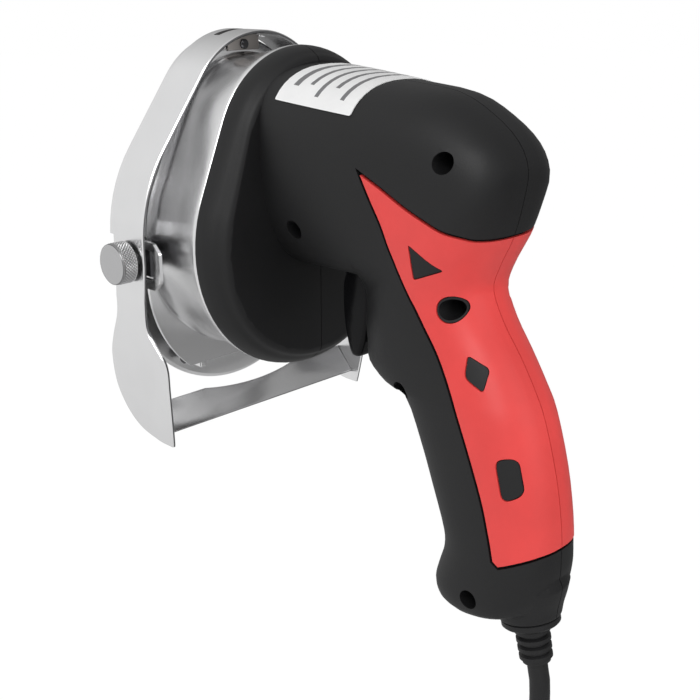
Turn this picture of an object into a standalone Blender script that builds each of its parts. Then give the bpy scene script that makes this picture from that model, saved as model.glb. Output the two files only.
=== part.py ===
"""Hand-held electric slicer with a round blade, a slice guide and a pistol grip.

The tool's own frame has the blade's plane at y = 0 and the blade's axis along Y through z = 0.
The blade faces -Y, the motor and the tail lie towards +Y, and the grip and its cord hang down.
The whole model hangs on one empty, so that the world's origin lies in the middle of the grip.
Sizes are in metres.
"""
import math

import bmesh
import bpy
from mathutils import Matrix, Vector

MM = 0.001
GAP = 0.0003
RUNNING_GAP = 0.0001

# Blade and its spindle
BLADE_R = 0.0500
BLADE_T = 0.0015
BLADE_BEVEL = 0.0015
BLADE_HUB_RISE = 0.0002
SPINDLE_R = 0.0050
SPINDLE_TIP_R = 0.0040
SPINDLE_TIP_Y = -0.0085
HUB_R = 0.0110
HUB_T = 0.0048
BLADE_NUT_R = 0.0068
BLADE_NUT_T = 0.0045
BLADE_WASHER_R = 0.0095
BLADE_WASHER_T = 0.0014

# Gear pair: the motor's height over the blade's axis follows from the module and the teeth
GEAR_MODULE = 0.00125
GEAR_TEETH = 43
PINION_TEETH = 16
GEAR_WIDTH = 0.0080
GEAR_Y = 0.0240
MOTOR_Z = GEAR_MODULE * (GEAR_TEETH + PINION_TEETH) / 2

# Ball bearings
MAIN_BEARING_R = 0.0110
MAIN_BEARING_W = 0.0077
SMALL_BEARING_R = 0.0080
SMALL_BEARING_W = 0.0048
JOURNAL_R = 0.0040
MOTOR_SHAFT_R = 0.0030

# Egg-shaped outlines of gear housing and flange: a low circle and a smaller high one
EGG_LOW_Z = 0.0153
EGG_HIGH_Z = 0.0442
HEAD_R = BLADE_R - 0.0011
HEAD_TOP_R = HEAD_R - 0.0111

# Guard dish, with an egg-shaped outline of its own that the hoop shares
STRAP_LOW_Z = 0.0151
STRAP_HIGH_Z = 0.0526
GUARD_SHEET = 0.0013
GUARD_BACK_Y = 0.0120
GUARD_LIP_Y = -0.0015
GUARD_R = BLADE_R + 0.0035
GUARD_TOP_R = GUARD_R - 0.0223
GUARD_FILLET = 0.0050
GUARD_PLATE_R = BLADE_R - 0.0026
GUARD_STEP_Z = 0.0170
GUARD_FLAT_Z = 0.0112 - GUARD_PLATE_R
TAB_X = GUARD_R - 0.0008
TAB_CORNER = 0.0035
TAB_END_Y = 0.0265
TAB_TOP_Z = 0.0240
TAB_LOW_Z = 0.0000
TIE_ROD_R = 0.0020
TIE_ROD_HALF = 0.0295
TIE_ROD_Y = 0.0050
TIE_ROD_Z = GUARD_FLAT_Z + 0.0007
TIE_LUG_X = 0.0240
TIE_LUG_HALF = (0.0015, 0.0032)

# Slice guide: hoop, leaves and cross plate
STRAP_CLEAR = 0.0026
STRAP_R = GUARD_R + STRAP_CLEAR
STRAP_TOP_R = GUARD_TOP_R + STRAP_CLEAR
STRAP_T = 0.0013
STRAP_FRONT_Y = 0.0042
STRAP_BACK_Y = 0.0219
LEAF_BEND_Z = -0.0045
LEAF_LEAN = math.radians(6.9)
GUIDE_TRAVEL = 0.0075
PLATE_TOP = (0.0111, -0.0474)
PLATE_LOW = (0.0204, -0.0563)
PLATE_ARC_HALF = 0.0237
PLATE_ARC_DEPTH = 0.0028

# Front and back edge of the leaves: height, and y in mm
LEAF_FRONT = ((0.0087, 4.2), (-0.0036, 3.4), (-0.0120, 1.5), (-0.0217, -3.8), (-0.0303, -7.2),
              (-0.0425, -7.5), (-0.0520, -3.0), (-0.0579, 4.1), (-0.0604, 13.5), (-0.0609, 17.5))
LEAF_BACK = ((0.0087, 21.9), (-0.0036, 20.6), (-0.0145, 19.0), (-0.0200, 22.6), (-0.0273, 27.4),
             (-0.0387, 26.5), (-0.0597, 23.8), (-0.0609, 22.6))

# Crest of the hoop: the slot in the strip, and the saddle and screw under it
CREST_Z = STRAP_HIGH_Z + STRAP_TOP_R
CREST_SLOT_HALF = 0.0110
CREST_SLOT_Y = (0.0093, 0.0117)
CREST_BLOCK_HALF = 0.0073
CREST_BLOCK_Y = (STRAP_FRONT_Y + 0.0033, GUARD_BACK_Y + 0.0006)
CREST_BLOCK_DEPTH = 0.0074
CREST_SCREW_Z = CREST_Z - 0.0048

# Clamp knobs
CLAMP_Y = 0.0130
CLAMP_Z = 0.0096
KNOB_R = 0.0075
KNOB_W = 0.0059
KNOB_END_X = STRAP_R + 0.0073
KNOB_BORE_X = KNOB_END_X - 0.0015
COLLAR_R = 0.0045
STUD_R = 0.0020
CLAMP_NUT_T = 0.0024
CLAMP_NUT_HALF = 0.0058
CLAMP_NUT_X = TAB_X - GUARD_SHEET - GAP
SLOT_LOW_Z = 0.0036
SLOT_TOP_Z = 0.0140

# Gear housing
BELL_FRONT_Y = GUARD_BACK_Y + GAP
BELL_BACK_Y = 0.0417
BELL_WALL = 0.0025
BELL_FRONT_WALL = 0.0027
BEARING_PLATE_T = 0.0054
BEARING_BOSS_R = 0.0142
BEARING_SEAT_Y = BELL_FRONT_Y + 0.0015
# Rings of the bell: y and the insets of the low and the high circle from the head's rim
BELL_ROWS = ((BELL_FRONT_Y, 0.0013, 0.0035), (0.0140, 0.0023, 0.0045), (0.0175, 0.0029, 0.0046),
             (0.0240, 0.0025, 0.0036), (0.0330, 0.0013, 0.0017), (0.0405, 0.0, 0.0),
             (BELL_BACK_Y, 0.0, 0.0))

# Casing
FLANGE_FRONT_Y = BELL_BACK_Y + GAP
FLANGE_BACK_Y = 0.0522
CASING_WALL = 0.0030
RIB_T = 0.0015
RIB_REACH = 0.040
CRADLE_T = 0.0025
CRADLE_INSET = 0.0010
FRONT_CRADLE_Z = (0.012, 0.080)
REAR_CRADLE_Z = (0.016, 0.080)
BEARING_RIB_Z = (0.018, 0.056)
BRUSH_RIB_CLEAR = 0.0015
BARREL_HALF = 0.0280
GRIP_HALF = 0.0190
SEAM_GAP = GAP
LABEL_Y = (0.0578, 0.0912)
LABEL_LOW_Z = (0.0664, 0.0637)
LABEL_TOP_Z = 0.0800
LABEL_X = (-0.0200, 0.0400)
LABEL_T = 0.0004
OVERLAY_T = 0.0015
OVERLAY_PROUD = 0.0003
SCREW_HOLE_R = 0.0033
SCREW_BOSS_R = 0.0055
SCREW_SHANK_R = 0.0015
SCREW_HEAD_X = 0.0060
SCREW_SEAT_X = SCREW_HEAD_X - 0.0030
SCREW_TIP_X = -0.0120
FLANGE_ROOM_BACK_Y = 0.0490
# Rings of the casing's flange, in the same way as those of the bell
FLANGE_ROWS = ((FLANGE_FRONT_Y, 0.0, 0.0), (0.0452, 0.0007, 0.0003), (0.0480, 0.0023, 0.0012),
               (0.0498, 0.0042, 0.0023), (0.0514, 0.0055, 0.0034), (FLANGE_BACK_Y, 0.0074, 0.0048))

# Motor
STATOR_R = 0.0210
STATOR_BORE_R = 0.0134
STATOR_Y = (0.0745, 0.0985)
ARMATURE_R = 0.0126
COMMUTATOR_R = 0.0075
COMMUTATOR_SPAN = (0.0070, 0.0160)
WINDING_REACH = 0.0045
BRUSH_SPAN = (0.0093, 0.0147)
BRUSH_HALF = 0.0030
BRUSH_END_X = 0.0180
REAR_BEARING_Y = 0.1175
SHAFT_END = 0.0006
FAN_R = 0.0200
FAN_HUB_R = 0.0065
FAN_Y = (0.0438, 0.0500)
FAN_BLADES = 8
ARMATURE_TEETH = 12
ARMATURE_SLOT_R = 0.0095

# Trigger and switch
TRIGGER_HALF = 0.0080
TRIGGER_PIVOT = (0.0770, 0.0120)
TRIGGER_PIN_R = 0.0015
PIN_HALF = 0.0120
TRIGGER_MOUTH = ((0.0703, 0.0), (0.0703, 0.0158), (0.0920, 0.0158), (0.0920, -0.0100),
                 (0.0840, -0.0175), (0.0780, -0.0175))
PADDLE_BACK_Y = 0.0835
SWITCH_Y = (0.0925, 0.1150)
SWITCH_HALF_X = 0.0080
SWITCH_HALF_Z = 0.0100
SHELF_T = 0.0032
PLUNGER_R = 0.0020
PLUNGER_LENGTH = 0.0108
PLUNGER_ROOM = 0.0040

# Cord, strain relief and plug
CORD_R = 0.0035
RELIEF_START = (0.1515, -0.0970)
RELIEF_SLOPE = (0.225, -0.974)
RELIEF_LENGTH = 0.0165
RELIEF_R = 0.0067
RELIEF_STEM_R = 0.0070
COLLAR_DISC_R = 0.0115
COIL_TURNS = 3
COIL_MEAN_R = 0.0380
COIL_PITCH = 0.0076
COIL_CENTRE = (0.1035, -0.2330)
LOOP_POINTS = 24
TAIL_LENGTH = 0.0430
PLUG_LENGTH = 0.0350
PLUG_HALF_X = 0.0175
PLUG_HALF_Y = 0.0065
PLUG_ROWS = ((0.0, 0.0052, 0.0052), (0.0060, 0.0056, 0.0056), (0.0120, 0.0085, 0.0060),
             (0.0200, 0.0140, PLUG_HALF_Y), (PLUG_LENGTH - 0.0020, PLUG_HALF_X, PLUG_HALF_Y),
             (PLUG_LENGTH, PLUG_HALF_X - 0.0008, PLUG_HALF_Y - 0.0008))
PIN_SPACING = 0.0190
PIN_R = 0.0020
PIN_LENGTH = 0.0190

# Middle of the grip, which lies at the world's origin
GRIP_CENTRE = (0.0, 0.1340, -0.0400)

ROUND = 18
SMALL_ROUND = 12
SCREW_ROUND = 10
BLADE_STEPS = 48
OUTER_STEPS = 6
INNER_STEPS = 4


def material(name, colour, roughness, metallic=0.0):
    """A plain Principled material."""
    made = bpy.data.materials.new(name)
    made.use_nodes = True
    shader = made.node_tree.nodes["Principled BSDF"]
    shader.inputs["Base Color"].default_value = (*colour, 1.0)
    shader.inputs["Roughness"].default_value = roughness
    shader.inputs["Metallic"].default_value = metallic
    return made


def finish(name, bm, parent, look=None, place=(0, 0, 0), guide=False):
    """Turn a bmesh into a named object under its parent."""
    bmesh.ops.recalc_face_normals(bm, faces=bm.faces)
    mesh = bpy.data.meshes.new(name)
    bm.to_mesh(mesh)
    bm.free()
    mesh.shade_smooth()
    mesh.set_sharp_from_angle(angle=math.radians(32))
    made = bpy.data.objects.new(name, mesh)
    bpy.context.collection.objects.link(made)
    made.parent = parent
    made.location = place
    if look:
        mesh.materials.append(look)
    if guide:
        made.hide_render = True
        made.display_type = "WIRE"
    return made


def boolean(target, tool, operation="DIFFERENCE"):
    """Add one exact Boolean step to an object."""
    step = target.modifiers.new(tool.name, "BOOLEAN")
    step.operation = operation
    step.object = tool
    step.solver = "EXACT"
    return target


def empty(name, parent, place):
    """An empty that carries pieces, placed under its parent."""
    made = bpy.data.objects.new(name, None)
    bpy.context.collection.objects.link(made)
    made.parent = parent
    made.location = place
    return made


def loft_mesh(rings):
    """A closed skin through rings of equal count, with flat ends."""
    bm = bmesh.new()
    rows = [[bm.verts.new(point) for point in ring] for ring in rings]
    count = len(rows[0])
    for near, far in zip(rows, rows[1:]):
        for i in range(count):
            j = (i + 1) % count
            bm.faces.new((near[i], near[j], far[j], far[i]))
    bmesh.ops.triangulate(bm, faces=bm.faces[:])
    bm.faces.new(rows[0])
    bm.faces.new(rows[-1])
    return bm


def turned_mesh(profile, axis=(0, 1, 0), steps=ROUND, base=(0, 0, 0), closed=False, phase=0.0):
    """Spin a profile of (distance along the axis, radius) pairs round the axis."""
    bm = bmesh.new()
    points = [bm.verts.new((radius * math.cos(phase), radius * math.sin(phase), along))
              for along, radius in profile]
    pairs = list(zip(points, points[1:]))
    if closed:
        pairs.append((points[-1], points[0]))
    edges = [bm.edges.new(pair) for pair in pairs]
    bmesh.ops.spin(bm, geom=points + edges, cent=(0, 0, 0), axis=(0, 0, 1), angle=2 * math.pi,
                   steps=steps, use_merge=True)
    bmesh.ops.remove_doubles(bm, verts=bm.verts, dist=1e-7)
    turn = Vector((0, 0, 1)).rotation_difference(Vector(axis)).to_matrix().to_4x4()
    bmesh.ops.transform(bm, matrix=Matrix.Translation(base) @ turn, verts=bm.verts)
    return bm


def ring_mesh(start, end, outer, inner, axis=(0, 1, 0), steps=ROUND, base=(0, 0, 0)):
    """A plain round collar with a bore."""
    profile = [(start, inner), (start, outer), (end, outer), (end, inner)]
    return turned_mesh(profile, axis, steps, base, closed=True)


def rod_mesh(start, end, radius, axis=(0, 1, 0), steps=ROUND, base=(0, 0, 0)):
    """A plain round rod."""
    profile = [(start, 0), (start, radius), (end, radius), (end, 0)]
    return turned_mesh(profile, axis, steps, base)


def box_mesh(low, high):
    """A box between two corners."""
    bm = bmesh.new()
    bmesh.ops.create_cube(bm, size=1.0)
    size = [b - a for a, b in zip(low, high)]
    middle = [(a + b) / 2 for a, b in zip(low, high)]
    place = Matrix.Translation(middle) @ Matrix.Diagonal((*size, 1.0))
    bmesh.ops.transform(bm, matrix=place, verts=bm.verts)
    return bm


def rounded_box_mesh(low, high, bevel, segments=2):
    """A box with rounded edges."""
    bm = box_mesh(low, high)
    bmesh.ops.bevel(bm, geom=bm.edges[:], offset=bevel, segments=segments, profile=0.5,
                    affect="EDGES", material=-1)
    return bm


def prism_mesh(outline, start, end, along="y"):
    """Extrude a closed outline from start to end along one axis.

    Along y the outline's pairs are (x, z), along x they are (y, z).
    """
    def point(a, b, depth):
        return (a, depth, b) if along == "y" else (depth, a, b)
    bm = bmesh.new()
    face = bm.faces.new([bm.verts.new(point(a, b, start)) for a, b in outline])
    made = bmesh.ops.extrude_face_region(bm, geom=[face])
    moved = [item for item in made["geom"] if isinstance(item, bmesh.types.BMVert)]
    shift = (0, end - start, 0) if along == "y" else (end - start, 0, 0)
    bmesh.ops.translate(bm, verts=moved, vec=shift)
    return bm


def grown_outline(outline, distance):
    """A closed outline moved outwards by a distance, corner by corner."""
    area = sum(a[0] * b[1] - b[0] * a[1] for a, b in zip(outline, outline[1:] + outline[:1]))
    sign = 1 if area > 0 else -1
    made = []
    for before, here, after in zip(outline[-1:] + outline, outline, outline[1:] + outline[:1]):
        one = Vector((here[0] - before[0], here[1] - before[1])).normalized()
        two = Vector((after[0] - here[0], after[1] - here[1])).normalized()
        normal = Vector((one.y + two.y, -one.x - two.x)).normalized() * sign
        share = max(0.35, normal.dot(Vector((one.y, -one.x)) * sign))
        made.append((here[0] + normal.x * distance / share, here[1] + normal.y * distance / share))
    return made


def rounded_outline(corners, radius, steps=2):
    """A closed outline whose corners are rounded by a small arc-like curve."""
    made = []
    for before, here, after in zip(corners[-1:] + corners, corners, corners[1:] + corners[:1]):
        here = Vector(here)
        back = Vector(before) - here
        ahead = Vector(after) - here
        near = here + back.normalized() * min(radius, back.length * 0.45)
        far = here + ahead.normalized() * min(radius, ahead.length * 0.45)
        for step in range(steps + 1):
            t = step / steps
            point = near * (1 - t) ** 2 + here * 2 * t * (1 - t) + far * t ** 2
            made.append((point.x, point.y))
    return made


def egg_ring(y, low_r, high_r, low_z=EGG_LOW_Z, high_z=EGG_HIGH_Z, low_steps=14, high_steps=8):
    """The hull of a low circle and a smaller high one, as one ring at depth y."""
    lean = math.asin((low_r - high_r) / (high_z - low_z))
    ring = []
    for step in range(low_steps + 1):
        angle = lean - (math.pi + 2 * lean) * step / low_steps
        ring.append((low_r * math.cos(angle), y, low_z + low_r * math.sin(angle)))
    for step in range(high_steps + 1):
        angle = math.pi - lean - (math.pi - 2 * lean) * step / high_steps
        ring.append((high_r * math.cos(angle), y, high_z + high_r * math.sin(angle)))
    return ring


def head_ring(y, low_inset=0.0, high_inset=0.0):
    """One ring of the gear housing or the flange, at insets from the head's rim."""
    return egg_ring(y, HEAD_R - low_inset, HEAD_TOP_R - high_inset)


def toothed_outline(teeth, module, phase=0.0):
    """A spur gear's outline: straight-flanked teeth with running clearance."""
    pitch_r = module * teeth / 2
    tip_r = pitch_r + 0.85 * module
    root_r = pitch_r - 1.15 * module
    step = 2 * math.pi / teeth
    outline = []
    for tooth in range(teeth):
        middle = phase + tooth * step
        for radius, share in ((root_r, -0.36), (tip_r, -0.13), (tip_r, 0.13), (root_r, 0.36)):
            angle = middle + share * step
            outline.append((radius * math.cos(angle), radius * math.sin(angle)))
    return outline


def smooth_route(points, spacing):
    """Points at an even spacing along a smooth curve through the given points."""
    nodes = [Vector(point) for point in points]
    ends = [nodes[0] * 2 - nodes[1]] + nodes + [nodes[-1] * 2 - nodes[-2]]
    fine = []
    for a, b, c, d in zip(ends, ends[1:], ends[2:], ends[3:]):
        for step in range(24):
            t = step / 24
            fine.append(0.5 * (2 * b + (c - a) * t + (2 * a - 5 * b + 4 * c - d) * t * t
                               + (3 * b - a - 3 * c + d) * t ** 3))
    fine.append(nodes[-1])
    lengths = [(q - p).length for p, q in zip(fine, fine[1:])]
    count = max(2, round(sum(lengths) / spacing))
    goal = sum(lengths) / count
    made = [fine[0]]
    run = 0.0
    for point, length in zip(fine[1:], lengths):
        run += length
        if run >= goal * len(made) - 1e-9 and len(made) < count:
            made.append(point)
    return made + [fine[-1]]


def tube(name, points, radius, parent, look, sides_level):
    """A round tube along points, as a curve with filled caps."""
    curve = bpy.data.curves.new(name, "CURVE")
    curve.dimensions = "3D"
    curve.bevel_depth = radius
    curve.bevel_resolution = sides_level
    curve.use_fill_caps = True
    spline = curve.splines.new("POLY")
    spline.points.add(len(points) - 1)
    for slot, point in zip(spline.points, points):
        slot.co = (*point, 1.0)
    curve.materials.append(look)
    made = bpy.data.objects.new(name, curve)
    bpy.context.collection.objects.link(made)
    made.parent = parent
    return made


# Side view of the casing in millimetres. Each row joins a point of the underside and the grip's
# front to a point of the top and the grip's back, from the flange round to the heel, with the
# share of the barrel's extra width there and how far up the section its widest line lies.
CASING_ROWS = (
    ((50.0, 7.0), (50.0, 76.7), 1.00, 0.69),
    ((65.0, 7.0), (68.0, 75.4), 1.00, 0.69),
    ((81.0, 7.0), (93.0, 73.0), 0.92, 0.68),
    ((83.5, 5.2), (114.0, 71.0), 0.73, 0.64),
    ((83.9, 3.4), (127.5, 66.0), 0.57, 0.62),
    ((84.0, 1.8), (136.6, 58.0), 0.45, 0.59),
    ((84.0, -0.3), (140.3, 48.0), 0.34, 0.56),
    ((84.0, -2.2), (139.3, 38.0), 0.27, 0.54),
    ((84.0, -4.0), (137.4, 28.5), 0.20, 0.53),
    ((84.0, -6.4), (131.7, 17.5), 0.13, 0.52),
    ((84.0, -9.0), (130.4, 10.5), 0.09, 0.51),
    ((84.3, -12.5), (135.0, 1.0), 0.05, 0.50),
    ((86.5, -17.5), (142.0, -8.5), 0.02, 0.50),
    ((94.5, -22.2), (148.3, -18.6), 0.01, 0.50),
    ((102.0, -27.0), (152.6, -27.5), 0.00, 0.50),
    ((107.8, -40.0), (158.0, -45.0), -0.01, 0.50),
    ((114.4, -55.5), (161.0, -61.0), -0.02, 0.50),
    ((120.0, -69.0), (162.0, -74.0), -0.01, 0.50),
    ((120.8, -76.5), (161.9, -79.0), 0.01, 0.50),
    ((118.8, -84.0), (161.3, -83.5), 0.05, 0.50),
    ((117.6, -89.5), (160.3, -87.5), 0.06, 0.50),
    ((119.3, -94.5), (158.3, -91.0), -0.04, 0.50),
    ((124.5, -98.0), (154.5, -93.2), -0.33, 0.50),
)


def casing_ring(row, inset=0.0, steps=OUTER_STEPS):
    """One section of the casing, moved inwards by inset."""
    (y_in, z_in), (y_out, z_out), share, widest = row
    near = Vector((y_in, z_in)) * MM
    far = Vector((y_out, z_out)) * MM
    along = (far - near).normalized()
    near += along * inset
    far -= along * inset
    half = GRIP_HALF + share * (BARREL_HALF - GRIP_HALF) - inset
    side = []
    for step in range(steps + 1):
        angle = math.pi / 2 * (1 - step / steps)
        side.append((half * math.cos(angle) ** (2 / 2.4) if step else 0.0,
                     widest + (1 - widest) * math.sin(angle) ** (2 / 2.4)))
    for step in range(1, steps + 1):
        angle = math.pi / 2 * step / steps
        side.append((half * math.cos(angle) ** (2 / 2.5) if step < steps else 0.0,
                     widest - widest * math.sin(angle) ** (2 / 2.5)))
    full = side + [(-x, t) for x, t in side[-2:0:-1]]
    return [(x, near.x + (far.x - near.x) * t, near.y + (far.y - near.y) * t) for x, t in full]


def casing_loft(name, parent, inset=0.0, steps=OUTER_STEPS, front_y=None, rows=CASING_ROWS):
    """A guide solid: the casing's outer form moved inwards by inset."""
    rings = [casing_ring(row, inset, steps) for row in rows]
    if front_y is not None:
        rings.insert(0, [(x, front_y, z) for x, y, z in rings[0]])
    return finish(name, loft_mesh(rings), parent, guide=True)


def relief_axis():
    """Start point and direction of the strain relief."""
    start = Vector((0, *RELIEF_START))
    return start, Vector((0, *RELIEF_SLOPE)).normalized()


# Housing screws: place in side view, as (y, z)
SCREW_PLACES = {
    "barrel": (0.0640, 0.0237),
    "tail": (0.1256, 0.0526),
    "neck": (0.1254, 0.0066),
    "chin": (0.1074, -0.0244),
    "heel": (0.1400, -0.0880),
}

# Red grip cover in side view, in millimetres, as (y, z) corners; its back runs past the grip
OVERLAY_FRONT = ((97.5, 45.5), (103.5, 32.3), (107.4, 21.2), (116.5, 3.3), (124.5, -9.5),
                 (133.7, -28.3), (142.4, -49.6), (145.7, -62.5), (149.2, -72.0))
OVERLAY_BACK = ((156.0, -69.9), (170.0, -66.0), (170.0, 28.0), (150.0, 28.8), (135.8, 29.2),
                (127.9, 31.4), (118.8, 36.6), (111.8, 41.0), (104.6, 43.8))
PADS = {
    "triangle": ((114.1, 25.9), (124.4, 19.6), (115.3, 15.8)),
    "diamond": ((132.7, -7.1), (138.8, -10.5), (138.9, -16.9), (133.2, -13.4)),
    "tablet": ((146.2, -37.4), (151.5, -36.4), (154.7, -47.6), (149.7, -50.3)),
}
PAD_ROUNDING = 0.0014
SCREW_RING_R = 0.0044


def overlay_outline():
    """The grip cover's outline in side view."""
    return [(y * MM, z * MM) for y, z in OVERLAY_FRONT + OVERLAY_BACK]


def pad_outlines():
    """The windows in the grip cover, with rounded corners, and the ring round its screw."""
    outlines = []
    for corners in PADS.values():
        outlines.append(rounded_outline([(y * MM, z * MM) for y, z in corners], PAD_ROUNDING))
    y, z = SCREW_PLACES["neck"]
    ring = [(y + SCREW_RING_R * math.cos(2 * math.pi * a / SMALL_ROUND),
             z + SCREW_RING_R * math.sin(2 * math.pi * a / SMALL_ROUND)) for a in range(SMALL_ROUND)]
    outlines.append(ring)
    return outlines


def casing_guides(frame):
    """Everything that the two casing halves are cut from and with."""
    outer = casing_loft("guide_outer", frame)
    rings = [head_ring(*row) for row in FLANGE_ROWS]
    flange = finish("guide_flange", loft_mesh(rings), frame, guide=True)
    boolean(outer, flange, "UNION")
    start, along = relief_axis()
    neck = turned_mesh([(-0.020, 0), (-0.020, 0.0125), (-0.012, 0.0150), (-0.004, 0.0132),
                        (-GAP, 0.0120), (-GAP, 0)], along, ROUND, start)
    boolean(outer, finish("guide_neck", neck, frame, guide=True), "UNION")

    cavity = casing_loft("guide_cavity", frame, CASING_WALL, INNER_STEPS, 0.045, CASING_ROWS[:-2:2])
    for name, (y, z) in SCREW_PLACES.items():
        boss = rod_mesh(-RIB_REACH, RIB_REACH, SCREW_BOSS_R, (1, 0, 0), SCREW_ROUND, (0, y, z))
        boolean(cavity, finish("guide_boss_" + name, boss, frame, guide=True))
    bearing = (REAR_BEARING_Y - GAP, REAR_BEARING_Y + SMALL_BEARING_W + GAP)
    holder = STATOR_Y[1] + BRUSH_SPAN[0] - GAP
    front = STATOR_Y[0] + CRADLE_INSET
    rear = STATOR_Y[1] - CRADLE_INSET
    ribs = (("front_cradle", (front, front + CRADLE_T), FRONT_CRADLE_Z, STATOR_R + GAP),
            ("rear_cradle", (rear - CRADLE_T, rear), REAR_CRADLE_Z, STATOR_R + GAP),
            ("rear_bearing", bearing, BEARING_RIB_Z, SMALL_BEARING_R + GAP),
            ("brush", (holder - RIB_T, holder), BEARING_RIB_Z, COMMUTATOR_R + BRUSH_RIB_CLEAR))
    for name, (y0, y1), (z0, z1), bore in ribs:
        rib = box_mesh((-RIB_REACH, y0, z0), (RIB_REACH, y1, z1))
        rib = finish("guide_rib_" + name, rib, frame, guide=True)
        hole = rod_mesh(y0 - 0.002, y1 + 0.002, bore, base=(0, 0, MOTOR_Z))
        boolean(rib, finish("guide_bore_" + name, hole, frame, guide=True))
        boolean(cavity, rib)
    top = -SWITCH_HALF_Z - GAP
    shelf = box_mesh((-RIB_REACH, SWITCH_Y[0] - 0.001, top - SHELF_T),
                     (RIB_REACH, SWITCH_Y[1] + 0.0005, top))
    boolean(cavity, finish("guide_shelf", shelf, frame, guide=True))
    return outer, cavity


def casing_cutters(frame):
    """Cuts that both halves share."""
    cutters = []
    room = ((FLANGE_FRONT_Y - 0.002, CASING_WALL, CASING_WALL), (FLANGE_ROOM_BACK_Y, 0.0074, 0.0056))
    flange_room = loft_mesh([head_ring(*row) for row in room])
    cutters.append(finish("guide_flange_room", flange_room, frame, guide=True))
    side = TRIGGER_HALF + GAP
    trigger_room = prism_mesh(TRIGGER_MOUTH, -side, side, "x")
    cutters.append(finish("guide_trigger_room", trigger_room, frame, guide=True))
    pin = rod_mesh(-PIN_HALF - GAP, PIN_HALF + GAP, TRIGGER_PIN_R + GAP, (1, 0, 0), SMALL_ROUND,
                   (0, *TRIGGER_PIVOT))
    cutters.append(finish("guide_pin_room", pin, frame, guide=True))
    start, along = relief_axis()
    stem_r = RELIEF_STEM_R + GAP
    bore = turned_mesh([(-0.0105, 0), (-0.0105, stem_r), (0.004, stem_r), (0.004, 0)], along,
                       SMALL_ROUND + 3, start, phase=0.1)
    cutters.append(finish("guide_relief_bore", bore, frame, guide=True))
    return cutters


def screw_cutter(name, place, frame):
    """Stepped hole of one housing screw, open on the left face."""
    tip, shank = SCREW_TIP_X - SCREW_SHANK_R, SCREW_SHANK_R + GAP
    profile = [(tip, 0), (tip, shank), (SCREW_SEAT_X, shank), (SCREW_SEAT_X, SCREW_HOLE_R),
               (0.040, SCREW_HOLE_R), (0.040, 0)]
    mesh = turned_mesh(profile, (1, 0, 0), SCREW_ROUND, (0, *place))
    return finish("guide_screw_" + name, mesh, frame, guide=True)


def recess_cutter(frame):
    """The shallow bed of the grip covers, with the pads and rings left standing."""
    outline = grown_outline(overlay_outline(), GAP)
    bed = finish("guide_bed", prism_mesh(outline, -0.04, 0.04, "x"), frame, guide=True)
    boolean(bed, casing_loft("guide_bed_floor", frame, OVERLAY_T + GAP, INNER_STEPS,
                             rows=CASING_ROWS[::2]))
    for number, window in enumerate(pad_outlines()):
        pad = prism_mesh(grown_outline(window, -GAP), -0.045, 0.045, "x")
        boolean(bed, finish("guide_pad_%d" % number, pad, frame, guide=True))
    return bed


def add_casing(frame, look):
    """Left and right halves of the plastic casing, split along the middle plane."""
    shell, cavity = casing_guides(frame)
    for cutter in [cavity] + casing_cutters(frame) + [recess_cutter(frame)]:
        boolean(shell, cutter)
    for name, place in SCREW_PLACES.items():
        boolean(shell, screw_cutter(name, place, frame))
    for side, sign in (("left", 1), ("right", -1)):
        low, high = sorted((sign * SEAM_GAP / 2, sign * 0.08))
        half = finish("housing_" + side,
                      box_mesh((low, 0.03, -0.14), (high, 0.20, 0.11)), frame, look)
        boolean(half, shell, "INTERSECT")


def add_overlays(frame, look):
    """Soft red covers of the grip, one on each half, with their windows."""
    skin = casing_loft("guide_skin", frame, -OVERLAY_PROUD)
    core = casing_loft("guide_core", frame, OVERLAY_T, INNER_STEPS, rows=CASING_ROWS[::2])
    windows = []
    for number, window in enumerate(pad_outlines()):
        hole = prism_mesh(window, -0.05, 0.05, "x")
        windows.append(finish("guide_window_%d" % number, hole, frame, guide=True))
    for side, sign in (("left", 1), ("right", -1)):
        low, high = sorted((sign * SEAM_GAP / 2, sign * 0.05))
        cover = finish("grip_cover_" + side, prism_mesh(overlay_outline(), low, high, "x"),
                       frame, look)
        boolean(cover, skin, "INTERSECT")
        boolean(cover, core)
        for window in windows:
            boolean(cover, window)


def add_label(frame, look):
    """Blank rating plate that wraps the top of the barrel."""
    skin = casing_loft("guide_label_skin", frame, -GAP - LABEL_T)
    core = casing_loft("guide_label_core", frame, -GAP)
    front, back = LABEL_Y
    outline = [(front, LABEL_LOW_Z[0]), (back, LABEL_LOW_Z[1]), (back, LABEL_TOP_Z),
               (front, LABEL_TOP_Z)]
    label = finish("rating_plate", prism_mesh(outline, *LABEL_X, "x"), frame, look)
    boolean(label, skin, "INTERSECT")
    boolean(label, core)


def add_housing_screws(frame, look):
    """Five screws that hold the casing halves together, heads deep in the left half."""
    for name, (y, z) in SCREW_PLACES.items():
        head, seat = SCREW_HOLE_R - GAP, SCREW_SEAT_X + GAP
        profile = [(SCREW_TIP_X, 0), (SCREW_TIP_X, SCREW_SHANK_R), (seat, SCREW_SHANK_R),
                   (seat, head), (SCREW_HEAD_X - 0.0004, head), (SCREW_HEAD_X, head * 0.8),
                   (SCREW_HEAD_X, 0)]
        mesh = turned_mesh(profile, (1, 0, 0), SCREW_ROUND)
        finish("housing_screw_" + name, mesh, frame, look, (0, y, z))


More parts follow.
